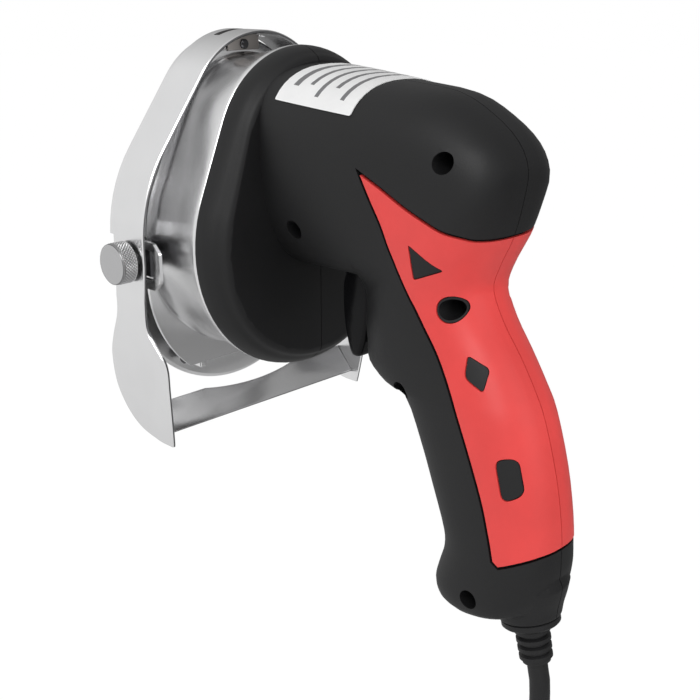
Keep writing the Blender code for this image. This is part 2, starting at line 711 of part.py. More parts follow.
def add_gear_housing(frame, look):
    """Polished bell round the gears, with the main bearing's boss in its front wall."""
    bell = finish("gear_housing", loft_mesh([head_ring(*row) for row in BELL_ROWS]), frame, look)
    inner = ((BELL_FRONT_Y + BELL_FRONT_WALL, *BELL_ROWS[2][1:]), *BELL_ROWS[3:5],
             (BELL_BACK_Y + 0.002, *BELL_ROWS[5][1:]))
    room = loft_mesh([head_ring(y, low + BELL_WALL, high + BELL_WALL) for y, low, high in inner])
    cavity = finish("guide_bell_room", room, frame, guide=True)
    boss_end = BEARING_SEAT_Y + MAIN_BEARING_W + 2 * GAP
    boss = ring_mesh(BELL_FRONT_Y + 0.001, boss_end, BEARING_BOSS_R, 0.002)
    boolean(cavity, finish("guide_bell_boss", boss, frame, guide=True))
    boolean(bell, cavity)
    hole, bore, front = SPINDLE_R + 0.0010, MAIN_BEARING_R + GAP, BELL_FRONT_Y - 0.002
    seat = turned_mesh([(front, 0), (front, hole), (BEARING_SEAT_Y, hole), (BEARING_SEAT_Y, bore),
                        (boss_end + 0.002, bore), (boss_end + 0.002, 0)])
    boolean(bell, finish("guide_bell_seat", seat, frame, guide=True))


def bearing_plate_y():
    """Front and back of the inner bearing plate."""
    return BELL_BACK_Y - BEARING_PLATE_T, BELL_BACK_Y


def add_bearing_plate(frame, look):
    """Inner plate that closes the bell and carries the spindle's and the motor's bearings."""
    front, back = bearing_plate_y()
    ring = [head_ring(y, BELL_WALL + 0.0013, BELL_WALL + 0.0018) for y in (front, back)]
    plate = finish("bearing_plate", loft_mesh(ring), frame, look)
    for name, z in (("low", 0.0), ("high", MOTOR_Z)):
        hole = rod_mesh(front - 0.002, back + 0.002, SMALL_BEARING_R + GAP, base=(0, 0, z))
        boolean(plate, finish("guide_plate_hole_" + name, hole, frame, guide=True))


def add_bearings(frame, look):
    """Four ball bearings, as plain rings with their running clearance."""
    main = BEARING_SEAT_Y + GAP
    small = bearing_plate_y()[0] + GAP
    places = (("spindle_bearing_front", main, MAIN_BEARING_W, MAIN_BEARING_R, SPINDLE_R, 0.0),
              ("spindle_bearing_rear", small, SMALL_BEARING_W, SMALL_BEARING_R, JOURNAL_R, 0.0),
              ("motor_bearing_front", small, SMALL_BEARING_W, SMALL_BEARING_R, MOTOR_SHAFT_R, MOTOR_Z),
              ("motor_bearing_rear", REAR_BEARING_Y, SMALL_BEARING_W, SMALL_BEARING_R,
               MOTOR_SHAFT_R, MOTOR_Z))
    for name, y, width, outer, shaft, z in places:
        mesh = ring_mesh(y, y + width, outer, shaft + RUNNING_GAP)
        finish(name, mesh, frame, look, (0, 0, z))


def guard_ring(inset, y):
    """One ring of the guard dish at an inset from its rim."""
    return egg_ring(y, GUARD_R - inset, GUARD_TOP_R - inset, STRAP_LOW_Z, STRAP_HIGH_Z)


def add_guard(frame, look):
    """Stamped dish behind the blade, with its side tabs and the tie rod's lugs."""
    fillet = []
    for step in range(4):
        angle = math.pi / 2 * step / 3
        fillet.append((GUARD_FILLET * (1 - math.cos(angle)),
                       GUARD_BACK_Y - GUARD_FILLET * (1 - math.sin(angle))))
    outside = [(0.0, GUARD_LIP_Y)] + fillet
    guard = finish("guard_dish", loft_mesh([guard_ring(*row) for row in outside]), frame, look)
    inner = [(inset + GUARD_SHEET * math.cos(math.pi / 2 * step / 3),
              y - GUARD_SHEET * math.sin(math.pi / 2 * step / 3))
             for step, (inset, y) in enumerate(fillet)]
    inside = [(GUARD_SHEET, GUARD_LIP_Y - 0.002)] + inner
    hollow = loft_mesh([guard_ring(*row) for row in inside])
    boolean(guard, finish("guide_guard_hollow", hollow, frame, guide=True))
    corner = math.acos(GUARD_STEP_Z / GUARD_PLATE_R)
    flat = math.acos(GUARD_FLAT_Z / GUARD_PLATE_R)
    arc = [(GUARD_PLATE_R * math.sin(corner + (flat - corner) * step / 8),
            GUARD_PLATE_R * math.cos(corner + (flat - corner) * step / 8)) for step in range(9)]
    outline = arc + [(-x, z) for x, z in reversed(arc)]
    outline += [(-arc[0][0] * 0.9, GUARD_STEP_Z + 0.004), (arc[0][0] * 0.9, GUARD_STEP_Z + 0.004)]
    away = box_mesh((-0.08, -0.02, -0.08), (0.08, 0.04, GUARD_STEP_Z))
    boolean(guard, finish("guide_guard_away", away, frame, guide=True))
    plate = prism_mesh(outline, GUARD_BACK_Y - GUARD_SHEET, GUARD_BACK_Y)
    boolean(guard, finish("guide_guard_plate", plate, frame, guide=True), "UNION")
    for side, sign in (("left", 1), ("right", -1)):
        low, high = sorted((sign * (TAB_X - GUARD_SHEET), sign * TAB_X))
        corners = [(0.0074, TAB_TOP_Z), (0.0074, TAB_LOW_Z + 0.002), (0.0094, TAB_LOW_Z),
                   (TAB_END_Y - TAB_CORNER, TAB_LOW_Z), (TAB_END_Y, TAB_LOW_Z + TAB_CORNER),
                   (TAB_END_Y, GUARD_STEP_Z - TAB_CORNER), (TAB_END_Y - TAB_CORNER, GUARD_STEP_Z),
                   (GUARD_BACK_Y + 0.0005, GUARD_STEP_Z), (GUARD_BACK_Y - 0.0015, TAB_TOP_Z)]
        tab = finish("guide_tab_" + side, prism_mesh(corners, low, high, "x"), frame, guide=True)
        boolean(guard, tab, "UNION")
        thick, wide = TIE_LUG_HALF
        lug = box_mesh((sign * TIE_LUG_X - thick, TIE_ROD_Y - wide, TIE_ROD_Z - wide),
                       (sign * TIE_LUG_X + thick, GUARD_BACK_Y - 0.0006, TIE_ROD_Z + wide))
        boolean(guard, finish("guide_lug_" + side, lug, frame, guide=True), "UNION")
    opening = box_mesh((-0.07, CLAMP_Y - STUD_R - GAP, SLOT_LOW_Z),
                       (0.07, CLAMP_Y + GUIDE_TRAVEL + STUD_R + GAP, SLOT_TOP_Z))
    inside = CLAMP_NUT_X - CLAMP_NUT_T - GAP
    centre = box_mesh((-inside, -0.03, -0.03), (inside, 0.05, 0.05))
    slots = finish("guide_slots", opening, frame, guide=True)
    boolean(slots, finish("guide_slots_centre", centre, frame, guide=True))
    boolean(guard, slots)
    spindle = rod_mesh(-0.01, 0.03, SPINDLE_R + 0.0015)
    boolean(guard, finish("guide_guard_hole", spindle, frame, guide=True))
    rod = rod_mesh(-0.04, 0.04, TIE_ROD_R + GAP, (1, 0, 0), SMALL_ROUND, (0, TIE_ROD_Y, TIE_ROD_Z))
    boolean(guard, finish("guide_rod_room", rod, frame, guide=True))


def add_tie_rod(frame, look):
    """Rod along the guard's lower edge, with a collar at each end."""
    end = TIE_ROD_HALF
    profile = [(-end, 0), (-end, TIE_ROD_R - 0.0004), (-end + 0.0004, TIE_ROD_R)]
    profile += [(end - 0.0004, TIE_ROD_R), (end, TIE_ROD_R - 0.0004), (end, 0)]
    mesh = turned_mesh(profile, (1, 0, 0), SMALL_ROUND)
    finish("tie_rod", mesh, frame, look, (0, TIE_ROD_Y, TIE_ROD_Z))


def add_crest_block(frame, look, screw_look):
    """Small saddle on the guard's crown, on which the hoop's crest slides, and its screw."""
    front, back = CREST_BLOCK_Y
    low = (-CREST_BLOCK_HALF, front, CREST_Z - CREST_BLOCK_DEPTH)
    block = finish("crest_block", box_mesh(low, (CREST_BLOCK_HALF, back, CREST_Z)), frame, look)
    under = rod_mesh(-0.01, 0.03, STRAP_TOP_R - STRAP_T - GAP, steps=64, base=(0, 0, STRAP_HIGH_Z))
    boolean(block, finish("guide_under_hoop", under, frame, guide=True), "INTERSECT")
    rows = [(-GAP, 0.0)] + [(GUARD_FILLET * (1 - math.cos(a * math.pi / 8)) - GAP,
                             GUARD_BACK_Y + GAP - GUARD_FILLET * (1 - math.sin(a * math.pi / 8)))
                            for a in range(5)]
    shape = finish("guide_block_seat", loft_mesh([guard_ring(*row) for row in rows]), frame,
                   guide=True)
    boolean(block, shape)
    hole = rod_mesh(back - 0.003, back + 0.001, 0.0011, steps=12, base=(0, 0, CREST_SCREW_Z))
    boolean(block, finish("guide_block_hole", hole, frame, guide=True))
    profile = [(back - 0.0010, 0), (back - 0.0010, 0.0008), (back + GAP, 0.0008),
               (back + GAP, 0.0018), (back + 0.0011, 0.0013), (back + 0.0011, 0)]
    finish("crest_screw", turned_mesh(profile, steps=16), frame, screw_look, (0, 0, CREST_SCREW_Z))


def leaf_edges(z):
    """Front and back edge of a leaf or leg of the slice guide at a height."""
    def read(rows):
        for (z0, y0), (z1, y1) in zip(rows, rows[1:]):
            if z >= z1:
                share = min(1.0, max(0.0, (z0 - z) / (z0 - z1)))
                return (y0 + (y1 - y0) * share) * MM
        return rows[-1][1] * MM
    return read(LEAF_FRONT), read(LEAF_BACK)


def guide_rows():
    """Cross-sections of the hoop's left half, from the leaf's foot up to the crest."""
    rows = []
    for z in (-0.0609, -0.0604, -0.0579, -0.0520, -0.0425, -0.0345, -0.0273, -0.0217, -0.0160,
              -0.0120, LEAF_BEND_Z):
        x = STRAP_R - math.tan(LEAF_LEAN) * (LEAF_BEND_Z - z)
        rows.append((x, z, LEAF_LEAN, *leaf_edges(z)))
    rows[-1] = (STRAP_R, LEAF_BEND_Z, LEAF_LEAN / 2, *leaf_edges(LEAF_BEND_Z))
    rows.append((STRAP_R, 0.0087, 0.0, STRAP_FRONT_Y, STRAP_BACK_Y))
    lean = math.asin((STRAP_R - STRAP_TOP_R) / (STRAP_HIGH_Z - STRAP_LOW_Z))
    for radius, centre, first, last, steps in ((STRAP_R, STRAP_LOW_Z, 0.0, lean, 6),
                                               (STRAP_TOP_R, STRAP_HIGH_Z, lean, math.pi / 2, 9)):
        for step in range(steps + 1):
            angle = first + (last - first) * step / steps
            rows.append((radius * math.cos(angle), centre + radius * math.sin(angle), angle,
                         STRAP_FRONT_Y, STRAP_BACK_Y))
    return rows


def guide_ring(row, sign):
    """One four-cornered section of the sheet; the angle is that of its outward normal."""
    x, z, angle, front, back = row
    normal = Vector((math.cos(angle), math.sin(angle)))
    if z <= LEAF_BEND_Z:
        normal = Vector((math.cos(angle), -math.sin(angle)))
    inner = Vector((x, z)) - normal * STRAP_T
    ring = [(x, front, z), (x, back, z), (inner.x, back, inner.y), (inner.x, front, inner.y)]
    return [(sign * px, py, pz) for px, py, pz in ring]


def add_guide_frame(frame, look):
    """Hoop with its two leaves, bent from one strip."""
    rows = guide_rows()
    rings = [guide_ring(row, 1) for row in rows]
    rings += [guide_ring(row, -1) for row in reversed(rows[:-1])]
    place = (0, -CLAMP_Y, -CLAMP_Z)
    bm = loft_mesh(rings)
    bmesh.ops.translate(bm, verts=bm.verts, vec=place)
    hoop = finish("guide_hoop", bm, frame, look)
    hole = rod_mesh(-0.07, 0.07, STUD_R + GAP, (1, 0, 0), SMALL_ROUND)
    boolean(hoop, finish("guide_stud_room", hole, frame, guide=True))
    front, back = (y - CLAMP_Y for y in CREST_SLOT_Y)
    top = CREST_Z - CLAMP_Z
    slot = rounded_box_mesh((-CREST_SLOT_HALF, front, top - CREST_SLOT_HALF),
                            (CREST_SLOT_HALF, back, top + CREST_SLOT_HALF), 0.0004, 1)
    boolean(hoop, finish("guide_crest_slot", slot, frame, guide=True))


def add_guide_plate(frame, look):
    """Cross plate between the leaves, tilted, with a shallow arc in its upper edge."""
    top = Vector(PLATE_TOP)
    low = Vector(PLATE_LOW)
    slope = (low - top).normalized()
    normal = Vector((-slope.y, slope.x))

    def half_width(z):
        return STRAP_R - math.tan(LEAF_LEAN) * (LEAF_BEND_Z - z) - STRAP_T - GAP - 0.0002
    arc_r = (PLATE_ARC_HALF ** 2 + PLATE_ARC_DEPTH ** 2) / (2 * PLATE_ARC_DEPTH)
    half_angle = math.asin(PLATE_ARC_HALF / arc_r)
    edge = [(half_width(top.y), 0.0), (PLATE_ARC_HALF, 0.0)]
    for step in range(1, 10):
        angle = half_angle * (1 - step / 5)
        edge.append((arc_r * math.sin(angle), arc_r * math.cos(angle) - arc_r * math.cos(half_angle)))
    edge += [(-PLATE_ARC_HALF, 0.0), (-half_width(top.y), 0.0)]
    length = (low - top).length
    edge += [(-half_width(low.y), length), (half_width(low.y), length)]
    rings = []
    for depth in (0.0, STRAP_T):
        ring = []
        for x, run in edge:
            point = top + slope * run - normal * depth
            ring.append((x, point.x - CLAMP_Y, point.y - CLAMP_Z))
        rings.append(ring)
    finish("guide_plate", loft_mesh(rings), frame, look)


def add_clamps(frame, looks):
    """Knobs with their studs, and the square nuts behind the guard's tabs."""
    for side, sign in (("left", 1), ("right", -1)):
        axis = (sign, 0, 0)
        start = KNOB_END_X - KNOB_W
        bore = STUD_R + GAP
        profile = [(KNOB_BORE_X, 0), (KNOB_BORE_X, bore), (STRAP_R + GAP, bore),
                   (STRAP_R + GAP, COLLAR_R), (start, COLLAR_R), (start, KNOB_R - 0.0005),
                   (start + 0.0005, KNOB_R), (KNOB_END_X - 0.0007, KNOB_R),
                   (KNOB_END_X, KNOB_R - 0.0007), (KNOB_END_X, 0)]
        knob = turned_mesh(profile, axis)
        carrier = empty("knob_axis_" + side, frame, (0, 0, 0))
        finish("knob_" + side, knob, carrier, looks["steel"])
        back = CLAMP_NUT_X - CLAMP_NUT_T
        stud = rod_mesh(back + GAP, KNOB_BORE_X - GAP, STUD_R, axis, SMALL_ROUND)
        finish("knob_stud_" + side, stud, carrier, looks["steel"])
        low, high = sorted((sign * back, sign * CLAMP_NUT_X))
        nut = finish("clamp_nut_" + side,
                     box_mesh((low, -CLAMP_NUT_HALF, -CLAMP_NUT_HALF),
                              (high, CLAMP_NUT_HALF, CLAMP_NUT_HALF)), frame, looks["steel"])
        hole = rod_mesh(back - 0.001, CLAMP_NUT_X + 0.001, STUD_R + GAP, axis, SMALL_ROUND)
        boolean(nut, finish("guide_nut_hole_" + side, hole, frame, guide=True))


def add_blade_unit(frame, looks):
    """Blade, its clamping parts, the spindle and the driven gear."""
    half = BLADE_T / 2
    bore = SPINDLE_TIP_R + GAP
    edge = BLADE_R - BLADE_BEVEL
    hub_face = -half - BLADE_HUB_RISE
    hub_face_r = BLADE_WASHER_R + 0.0005
    blade = [(hub_face, bore), (hub_face, hub_face_r), (-half, hub_face_r), (-half, edge),
             (-0.0001, BLADE_R), (0.0001, BLADE_R), (half, edge), (half, bore)]
    finish("blade", turned_mesh(blade, steps=BLADE_STEPS, closed=True), frame, looks["blade"])
    hub = half + GAP
    rear = bearing_plate_y()[0] + GAP + SMALL_BEARING_W
    shaft = [(SPINDLE_TIP_Y, 0), (SPINDLE_TIP_Y, SPINDLE_TIP_R - 0.0005),
             (SPINDLE_TIP_Y + 0.0005, SPINDLE_TIP_R), (hub, SPINDLE_TIP_R), (hub, HUB_R),
             (hub + HUB_T, HUB_R), (hub + HUB_T, SPINDLE_R),
             (GEAR_Y + GEAR_WIDTH + 0.0015, SPINDLE_R), (GEAR_Y + GEAR_WIDTH + 0.0015, JOURNAL_R),
             (rear, JOURNAL_R), (rear, 0)]
    finish("spindle", turned_mesh(shaft), frame, looks["steel"])
    washer = ring_mesh(hub_face - GAP - BLADE_WASHER_T, hub_face - GAP, BLADE_WASHER_R, bore)
    finish("blade_washer", washer, frame, looks["steel"])
    start = hub_face - 2 * GAP - BLADE_WASHER_T
    nut = turned_mesh([(start - BLADE_NUT_T, bore), (start - BLADE_NUT_T, BLADE_NUT_R),
                       (start, BLADE_NUT_R), (start, bore)], steps=6, closed=True)
    nut_round = finish("blade_nut", nut, frame, looks["steel"])
    clear = rod_mesh(start - BLADE_NUT_T - 0.001, start + 0.001, bore)
    boolean(nut_round, finish("guide_nut_bore", clear, frame, guide=True))
    gear_outline = toothed_outline(GEAR_TEETH, GEAR_MODULE, math.pi / 2)
    gear = finish("driven_gear", prism_mesh(gear_outline, GEAR_Y, GEAR_Y + GEAR_WIDTH), frame,
                  looks["gear"])
    hole = rod_mesh(GEAR_Y - 0.001, GEAR_Y + GEAR_WIDTH + 0.001, SPINDLE_R + GAP)
    boolean(gear, finish("guide_gear_bore", hole, frame, guide=True))


def add_rotor(frame, looks):
    """The motor's turning parts."""
    bore = MOTOR_SHAFT_R + GAP
    end = REAR_BEARING_Y + SMALL_BEARING_W + SHAFT_END
    finish("motor_shaft", rod_mesh(GEAR_Y - 0.001, end, MOTOR_SHAFT_R, steps=ROUND), frame,
           looks["steel"])
    phase = -math.pi / 2 + math.pi / PINION_TEETH
    outline = toothed_outline(PINION_TEETH, GEAR_MODULE, phase)
    pinion = finish("pinion", prism_mesh(outline, GEAR_Y, GEAR_Y + GEAR_WIDTH), frame, looks["gear"])
    fan_outline = []
    for blade in range(FAN_BLADES):
        angle = 2 * math.pi * blade / FAN_BLADES
        for radius, share in ((FAN_HUB_R, -0.30), (FAN_HUB_R, -0.11), (FAN_R, -0.035),
                              (FAN_R, 0.035), (FAN_HUB_R, 0.11)):
            turn = angle + share * 2 * math.pi / FAN_BLADES
            fan_outline.append((radius * math.cos(turn), radius * math.sin(turn)))
    fan = finish("fan", prism_mesh(fan_outline, *FAN_Y), frame, looks["plastic"])
    core_outline = []
    for tooth in range(ARMATURE_TEETH):
        for radius, share in ((ARMATURE_SLOT_R, -0.30), (ARMATURE_R, -0.36), (ARMATURE_R, 0.36),
                              (ARMATURE_SLOT_R, 0.30)):
            turn = 2 * math.pi * (tooth + share) / ARMATURE_TEETH
            core_outline.append((radius * math.cos(turn), radius * math.sin(turn)))
    y0, y1 = STATOR_Y
    core = finish("armature_core", prism_mesh(core_outline, y0, y1), frame, looks["iron"])
    for number, (piece, start, stop) in enumerate(((pinion, GEAR_Y, GEAR_Y + GEAR_WIDTH),
                                                   (fan, *FAN_Y), (core, y0, y1))):
        hole = rod_mesh(start - 0.001, stop + 0.001, bore)
        boolean(piece, finish("guide_rotor_bore_%d" % number, hole, frame, guide=True))
    for name, start, stop in (("front", y0 - WINDING_REACH, y0 - GAP),
                              ("rear", y1 + GAP, y1 + WINDING_REACH)):
        inner, outer = (start, stop) if name == "rear" else (stop, start)
        profile = [(inner, bore), (inner, 0.0118), ((inner + outer) / 2, 0.0112), (outer, 0.0080),
                   (outer, bore)]
        finish("armature_winding_" + name, turned_mesh(profile, closed=True), frame, looks["copper"])
    start, stop = COMMUTATOR_SPAN
    finish("commutator", ring_mesh(y1 + start, y1 + stop, COMMUTATOR_R, bore), frame, looks["copper"])


def add_stator(frame, looks):
    """The motor's fixed parts: core, field coils and brushes."""
    y0, y1 = STATOR_Y
    finish("stator_core", ring_mesh(y0, y1, STATOR_R, STATOR_BORE_R), frame, looks["iron"],
           (0, 0, MOTOR_Z))
    for name, start, stop in (("front", y0 - WINDING_REACH, y0 - GAP),
                              ("rear", y1 + GAP, y1 + WINDING_REACH)):
        profile = [(start, 0.0150), (start, 0.0180), ((start + stop) / 2, 0.0192), (stop, 0.0185),
                   (stop, 0.0145)]
        finish("field_coil_" + name, turned_mesh(profile, closed=True), frame, looks["copper"],
               (0, 0, MOTOR_Z))
    for side, sign in (("left", 1), ("right", -1)):
        low, high = sorted((sign * (COMMUTATOR_R + GAP), sign * BRUSH_END_X))
        brush = rounded_box_mesh((low, y1 + BRUSH_SPAN[0], -BRUSH_HALF),
                                 (high, y1 + BRUSH_SPAN[1], BRUSH_HALF), 0.0004, 1)
        finish("brush_" + side, brush, frame, looks["carbon"], (0, 0, MOTOR_Z))


def add_trigger(frame, looks):
    """Long paddle trigger on its pivot."""
    py, pz = TRIGGER_PIVOT
    side_view = [(73.6, 12.0), (74.3, 14.0), (76.0, 15.2), (78.0, 15.2), (80.5, 13.5), (83.2, 8.0),
                 (83.5, 2.0), (83.3, -6.0), (82.6, -13.0), (81.0, -19.0), (79.3, -21.6),
                 (77.0, -22.4), (74.8, -21.4), (72.8, -16.0), (71.4, -9.0), (70.9, -1.0),
                 (71.2, 4.0), (72.5, 8.0)]
    outline = [(y * MM - py, z * MM - pz) for y, z in side_view]
    bm = prism_mesh(outline, -TRIGGER_HALF, TRIGGER_HALF, "x")
    trigger = finish("trigger", bm, frame, looks["gloss"])
    rounding = trigger.modifiers.new("rounding", "BEVEL")
    rounding.width = 0.0009
    rounding.segments = 1
    rounding.limit_method = "ANGLE"
    rounding.angle_limit = math.radians(60)
    hole = rod_mesh(-0.02, 0.02, TRIGGER_PIN_R + RUNNING_GAP, (1, 0, 0), SMALL_ROUND)
    boolean(trigger, finish("guide_trigger_pin", hole, frame, guide=True))


def add_switch(frame, plunger_frame, looks):
    """Switch body on its shelf, the trigger's pivot pin and the switch's plunger."""
    finish("trigger_pin", rod_mesh(-PIN_HALF, PIN_HALF, TRIGGER_PIN_R, (1, 0, 0), SMALL_ROUND), frame,
           looks["steel"], (0, *TRIGGER_PIVOT))
    front, back = SWITCH_Y
    body = rounded_box_mesh((-SWITCH_HALF_X, front, -SWITCH_HALF_Z),
                            (SWITCH_HALF_X, back, SWITCH_HALF_Z), 0.0006, 1)
    switch = finish("switch_body", body, frame, looks["plastic"])
    hole = rod_mesh(front - 0.002, front + PLUNGER_ROOM, PLUNGER_R + RUNNING_GAP, steps=SMALL_ROUND)
    boolean(switch, finish("guide_plunger_room", hole, frame, guide=True))
    plunger = rod_mesh(0.0, PLUNGER_LENGTH, PLUNGER_R, steps=SMALL_ROUND)
    finish("switch_plunger", plunger, plunger_frame, looks["plastic"])


def add_strain_relief(frame, look):
    """Ribbed sleeve with a collar, out of the heel's neck."""
    start, along = relief_axis()
    profile = [(-0.0095, 0), (-0.0095, RELIEF_STEM_R), (0, RELIEF_STEM_R), (0, COLLAR_DISC_R - 0.0004),
               (0.0006, COLLAR_DISC_R), (0.0020, COLLAR_DISC_R), (0.0026, COLLAR_DISC_R - 0.0004),
               (0.0026, 0.0062)]
    pitch = (RELIEF_LENGTH - 0.0042) / 4
    for rib in range(4):
        base = 0.0042 + rib * pitch
        profile += [(base, RELIEF_R), (base + pitch * 0.55, RELIEF_R), (base + pitch * 0.68, 0.0054),
                    (base + pitch * 0.90, 0.0054)]
    profile = profile[:-2] + [(RELIEF_LENGTH, 0.0056), (RELIEF_LENGTH, 0)]
    mesh = turned_mesh(profile, along, SMALL_ROUND, start)
    finish("strain_relief", mesh, frame, look)


def coil_points():
    """One unbroken route: spiral in, climb in the half turn where it reverses, spiral out."""
    y0, z0 = COIL_CENTRE
    shallow = COIL_MEAN_R - COIL_PITCH * COIL_TURNS / 2
    total = 2 * COIL_TURNS
    points = []
    for step in range(total * LOOP_POINTS + 1):
        turn = step / LOOP_POINTS
        away = turn - COIL_TURNS
        radius = shallow + COIL_PITCH * abs(away)
        climb = max(-1.0, min(1.0, away / 0.25))
        angle = -2 * math.pi * turn
        points.append(Vector((COIL_PITCH / 2 * climb, y0 + radius * math.cos(angle),
                              z0 + radius * math.sin(angle))))
    straight = 2 * CORD_R
    points[0:1] = [points[0] + Vector((0, 0, straight)), points[0]]
    points.append(points[-1] - Vector((0, 0, TAIL_LENGTH)))
    return points


def least_gap(points):
    """Least distance between the coil's surfaces, measured between runs of its route."""
    least = 1.0
    for i, here in enumerate(points):
        for other in points[i + LOOP_POINTS // 2:]:
            least = min(least, (here - other).length)
    return least - 2 * CORD_R


def cord_route(coil_start):
    """Free lead from the strain relief down to the coil, straight for one diameter at both ends."""
    start, along = relief_axis()
    first = start + along * (RELIEF_LENGTH + GAP)
    last = coil_start + Vector((0, 0, GAP))
    straight = 2 * CORD_R
    bend = [first + along * straight, first + Vector((0, 0.0022, -0.0180)),
            first + Vector((-0.0010, 0.0010, -0.0450)), last + Vector((0, 0.0004, 0.0220)),
            last + Vector((0, 0, straight))]
    return [first] + smooth_route(bend, 2.2 * straight) + [last]


def add_cord(frame, looks):
    """Cord lead, coil, its tie and the two-pin plug."""
    points = coil_points()
    print("least gap of the coil to itself: %.2f mm" % (least_gap(points) * 1000))
    tube("cord_coil", points, CORD_R, frame, looks["cord"], 1)
    tube("cord_lead", cord_route(points[0]), CORD_R, frame, looks["cord"], 2)
    y0, z0 = COIL_CENTRE
    spread = COIL_PITCH * COIL_TURNS / 2 + CORD_R + GAP
    half_x = COIL_PITCH / 2 + CORD_R + GAP
    outer = rounded_box_mesh((-half_x - 0.0012, -spread - 0.0012, -0.0025),
                             (half_x + 0.0012, spread + 0.0012, 0.0025), 0.0004, 1)
    tie = finish("cord_tie", outer, frame, looks["tie"],
                 (0, y0 - COIL_MEAN_R + COIL_PITCH / 4, z0))
    inner = box_mesh((-half_x, -spread, -0.01), (half_x, spread, 0.01))
    hollow = finish("guide_tie_room", inner, tie, guide=True)
    boolean(tie, hollow)
    add_plug(points[-1] - Vector((0, 0, GAP)), frame, looks)


def add_plug(top, frame, looks):
    """Flat two-pin plug that hangs on the coil's end, pins down."""
    rings = []
    for depth, half_x, half_y in PLUG_ROWS:
        ring = []
        for step in range(20):
            angle = 2 * math.pi * step / 20
            x = math.copysign(abs(math.cos(angle)) ** 0.6, math.cos(angle))
            y = math.copysign(abs(math.sin(angle)) ** 0.6, math.sin(angle))
            ring.append((half_x * x, half_y * y, -depth))
        rings.append(ring)
    body = finish("plug_body", loft_mesh(rings), frame, looks["cord"], top)
    for side, sign in (("left", 1), ("right", -1)):
        x = sign * PIN_SPACING / 2
        hole = rod_mesh(PLUG_LENGTH - 0.008, PLUG_LENGTH + 0.002, PIN_R + GAP, (0, 0, -1),
                        SMALL_ROUND, (x, 0, 0))
        boolean(body, finish("guide_pin_hole_" + side, hole, body, guide=True))
        start = PLUG_LENGTH - 0.008 + GAP
        end = PLUG_LENGTH + PIN_LENGTH
        profile = [(start, 0), (start, PIN_R), (end - 0.0010, PIN_R), (end, PIN_R * 0.5), (end, 0)]
        pin = turned_mesh(profile, (0, 0, -1), 12)
        finish("plug_pin_" + side, pin, frame, looks["steel"], (top.x + x, top.y, top.z))


def looks():
    """All materials, by name."""
    return {
        "casing": material("casing_black", (0.035, 0.035, 0.037), 0.55),
        "red": material("grip_red", (0.68, 0.055, 0.045), 0.45),
        "plate": material("plate_white", (0.85, 0.85, 0.84), 0.5),
        "polished": material("polished_metal", (0.72, 0.72, 0.73), 0.18, 1.0),
        "sheet": material("sheet_steel", (0.70, 0.70, 0.71), 0.25, 1.0),
        "blade": material("blade_steel", (0.75, 0.76, 0.78), 0.15, 1.0),
        "steel": material("turned_steel", (0.66, 0.66, 0.67), 0.3, 1.0),
        "alloy": material("cast_alloy", (0.55, 0.55, 0.56), 0.45, 1.0),
        "gear": material("gear_steel", (0.45, 0.45, 0.46), 0.35, 1.0),
        "iron": material("core_iron", (0.30, 0.30, 0.31), 0.5, 1.0),
        "copper": material("winding_copper", (0.60, 0.25, 0.12), 0.4, 1.0),
        "carbon": material("brush_carbon", (0.05, 0.05, 0.05), 0.7),
        "plastic": material("inner_plastic", (0.10, 0.10, 0.11), 0.5),
        "gloss": material("trigger_gloss", (0.008, 0.008, 0.009), 0.12),
        "cord": material("cord_rubber", (0.03, 0.03, 0.03), 0.5),
        "tie": material("tie_plastic", (0.06, 0.06, 0.06), 0.4),
        "dark": material("dark_steel", (0.20, 0.20, 0.20), 0.4, 1.0),
    }


def main():
    """Build the whole slicer."""
    for item in list(bpy.data.objects):
        bpy.data.objects.remove(item)
    look = looks()
    frame = empty("tool_frame", None, [-value for value in GRIP_CENTRE])
    blade_axis = empty("blade_axis", frame, (0, 0, 0))
    motor_axis = empty("motor_axis", frame, (0, 0, MOTOR_Z))
    guide_slide = empty("guide_slide", frame, (0, CLAMP_Y, CLAMP_Z))
    trigger_axis = empty("trigger_axis", frame, (0, *TRIGGER_PIVOT))
    plunger_slide = empty("plunger_slide", frame, (0, PADDLE_BACK_Y + GAP, 0))
    add_casing(frame, look["casing"])
    add_overlays(frame, look["red"])
    add_label(frame, look["plate"])
    add_housing_screws(frame, look["dark"])
    add_gear_housing(frame, look["polished"])
    add_bearing_plate(frame, look["alloy"])
    add_bearings(frame, look["steel"])
    add_guard(frame, look["sheet"])
    add_tie_rod(frame, look["steel"])
    add_crest_block(frame, look["alloy"], look["dark"])
    add_guide_frame(guide_slide, look["sheet"])
    add_guide_plate(guide_slide, look["sheet"])
    add_clamps(guide_slide, look)
    add_blade_unit(blade_axis, look)
    add_rotor(motor_axis, look)
    add_stator(frame, look)
    add_trigger(trigger_axis, look)
    add_switch(frame, plunger_slide, look)
    add_strain_relief(frame, look["cord"])
    add_cord(frame, look)


main()
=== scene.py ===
"""Fine surface of a hand-held electric slicer with a round blade and a pistol grip.

Lengths are in metres, and outlines marked so in millimetres. The construction frame has the blade's
plane at y = 0 and the blade's axis along Y through z = 0; a finished piece is shifted once, so that
the origin lies in the grip.
"""
import math

import bmesh
import bpy
from bpy.props import FloatProperty, FloatVectorProperty, IntProperty, PointerProperty
from mathutils import Matrix, Vector


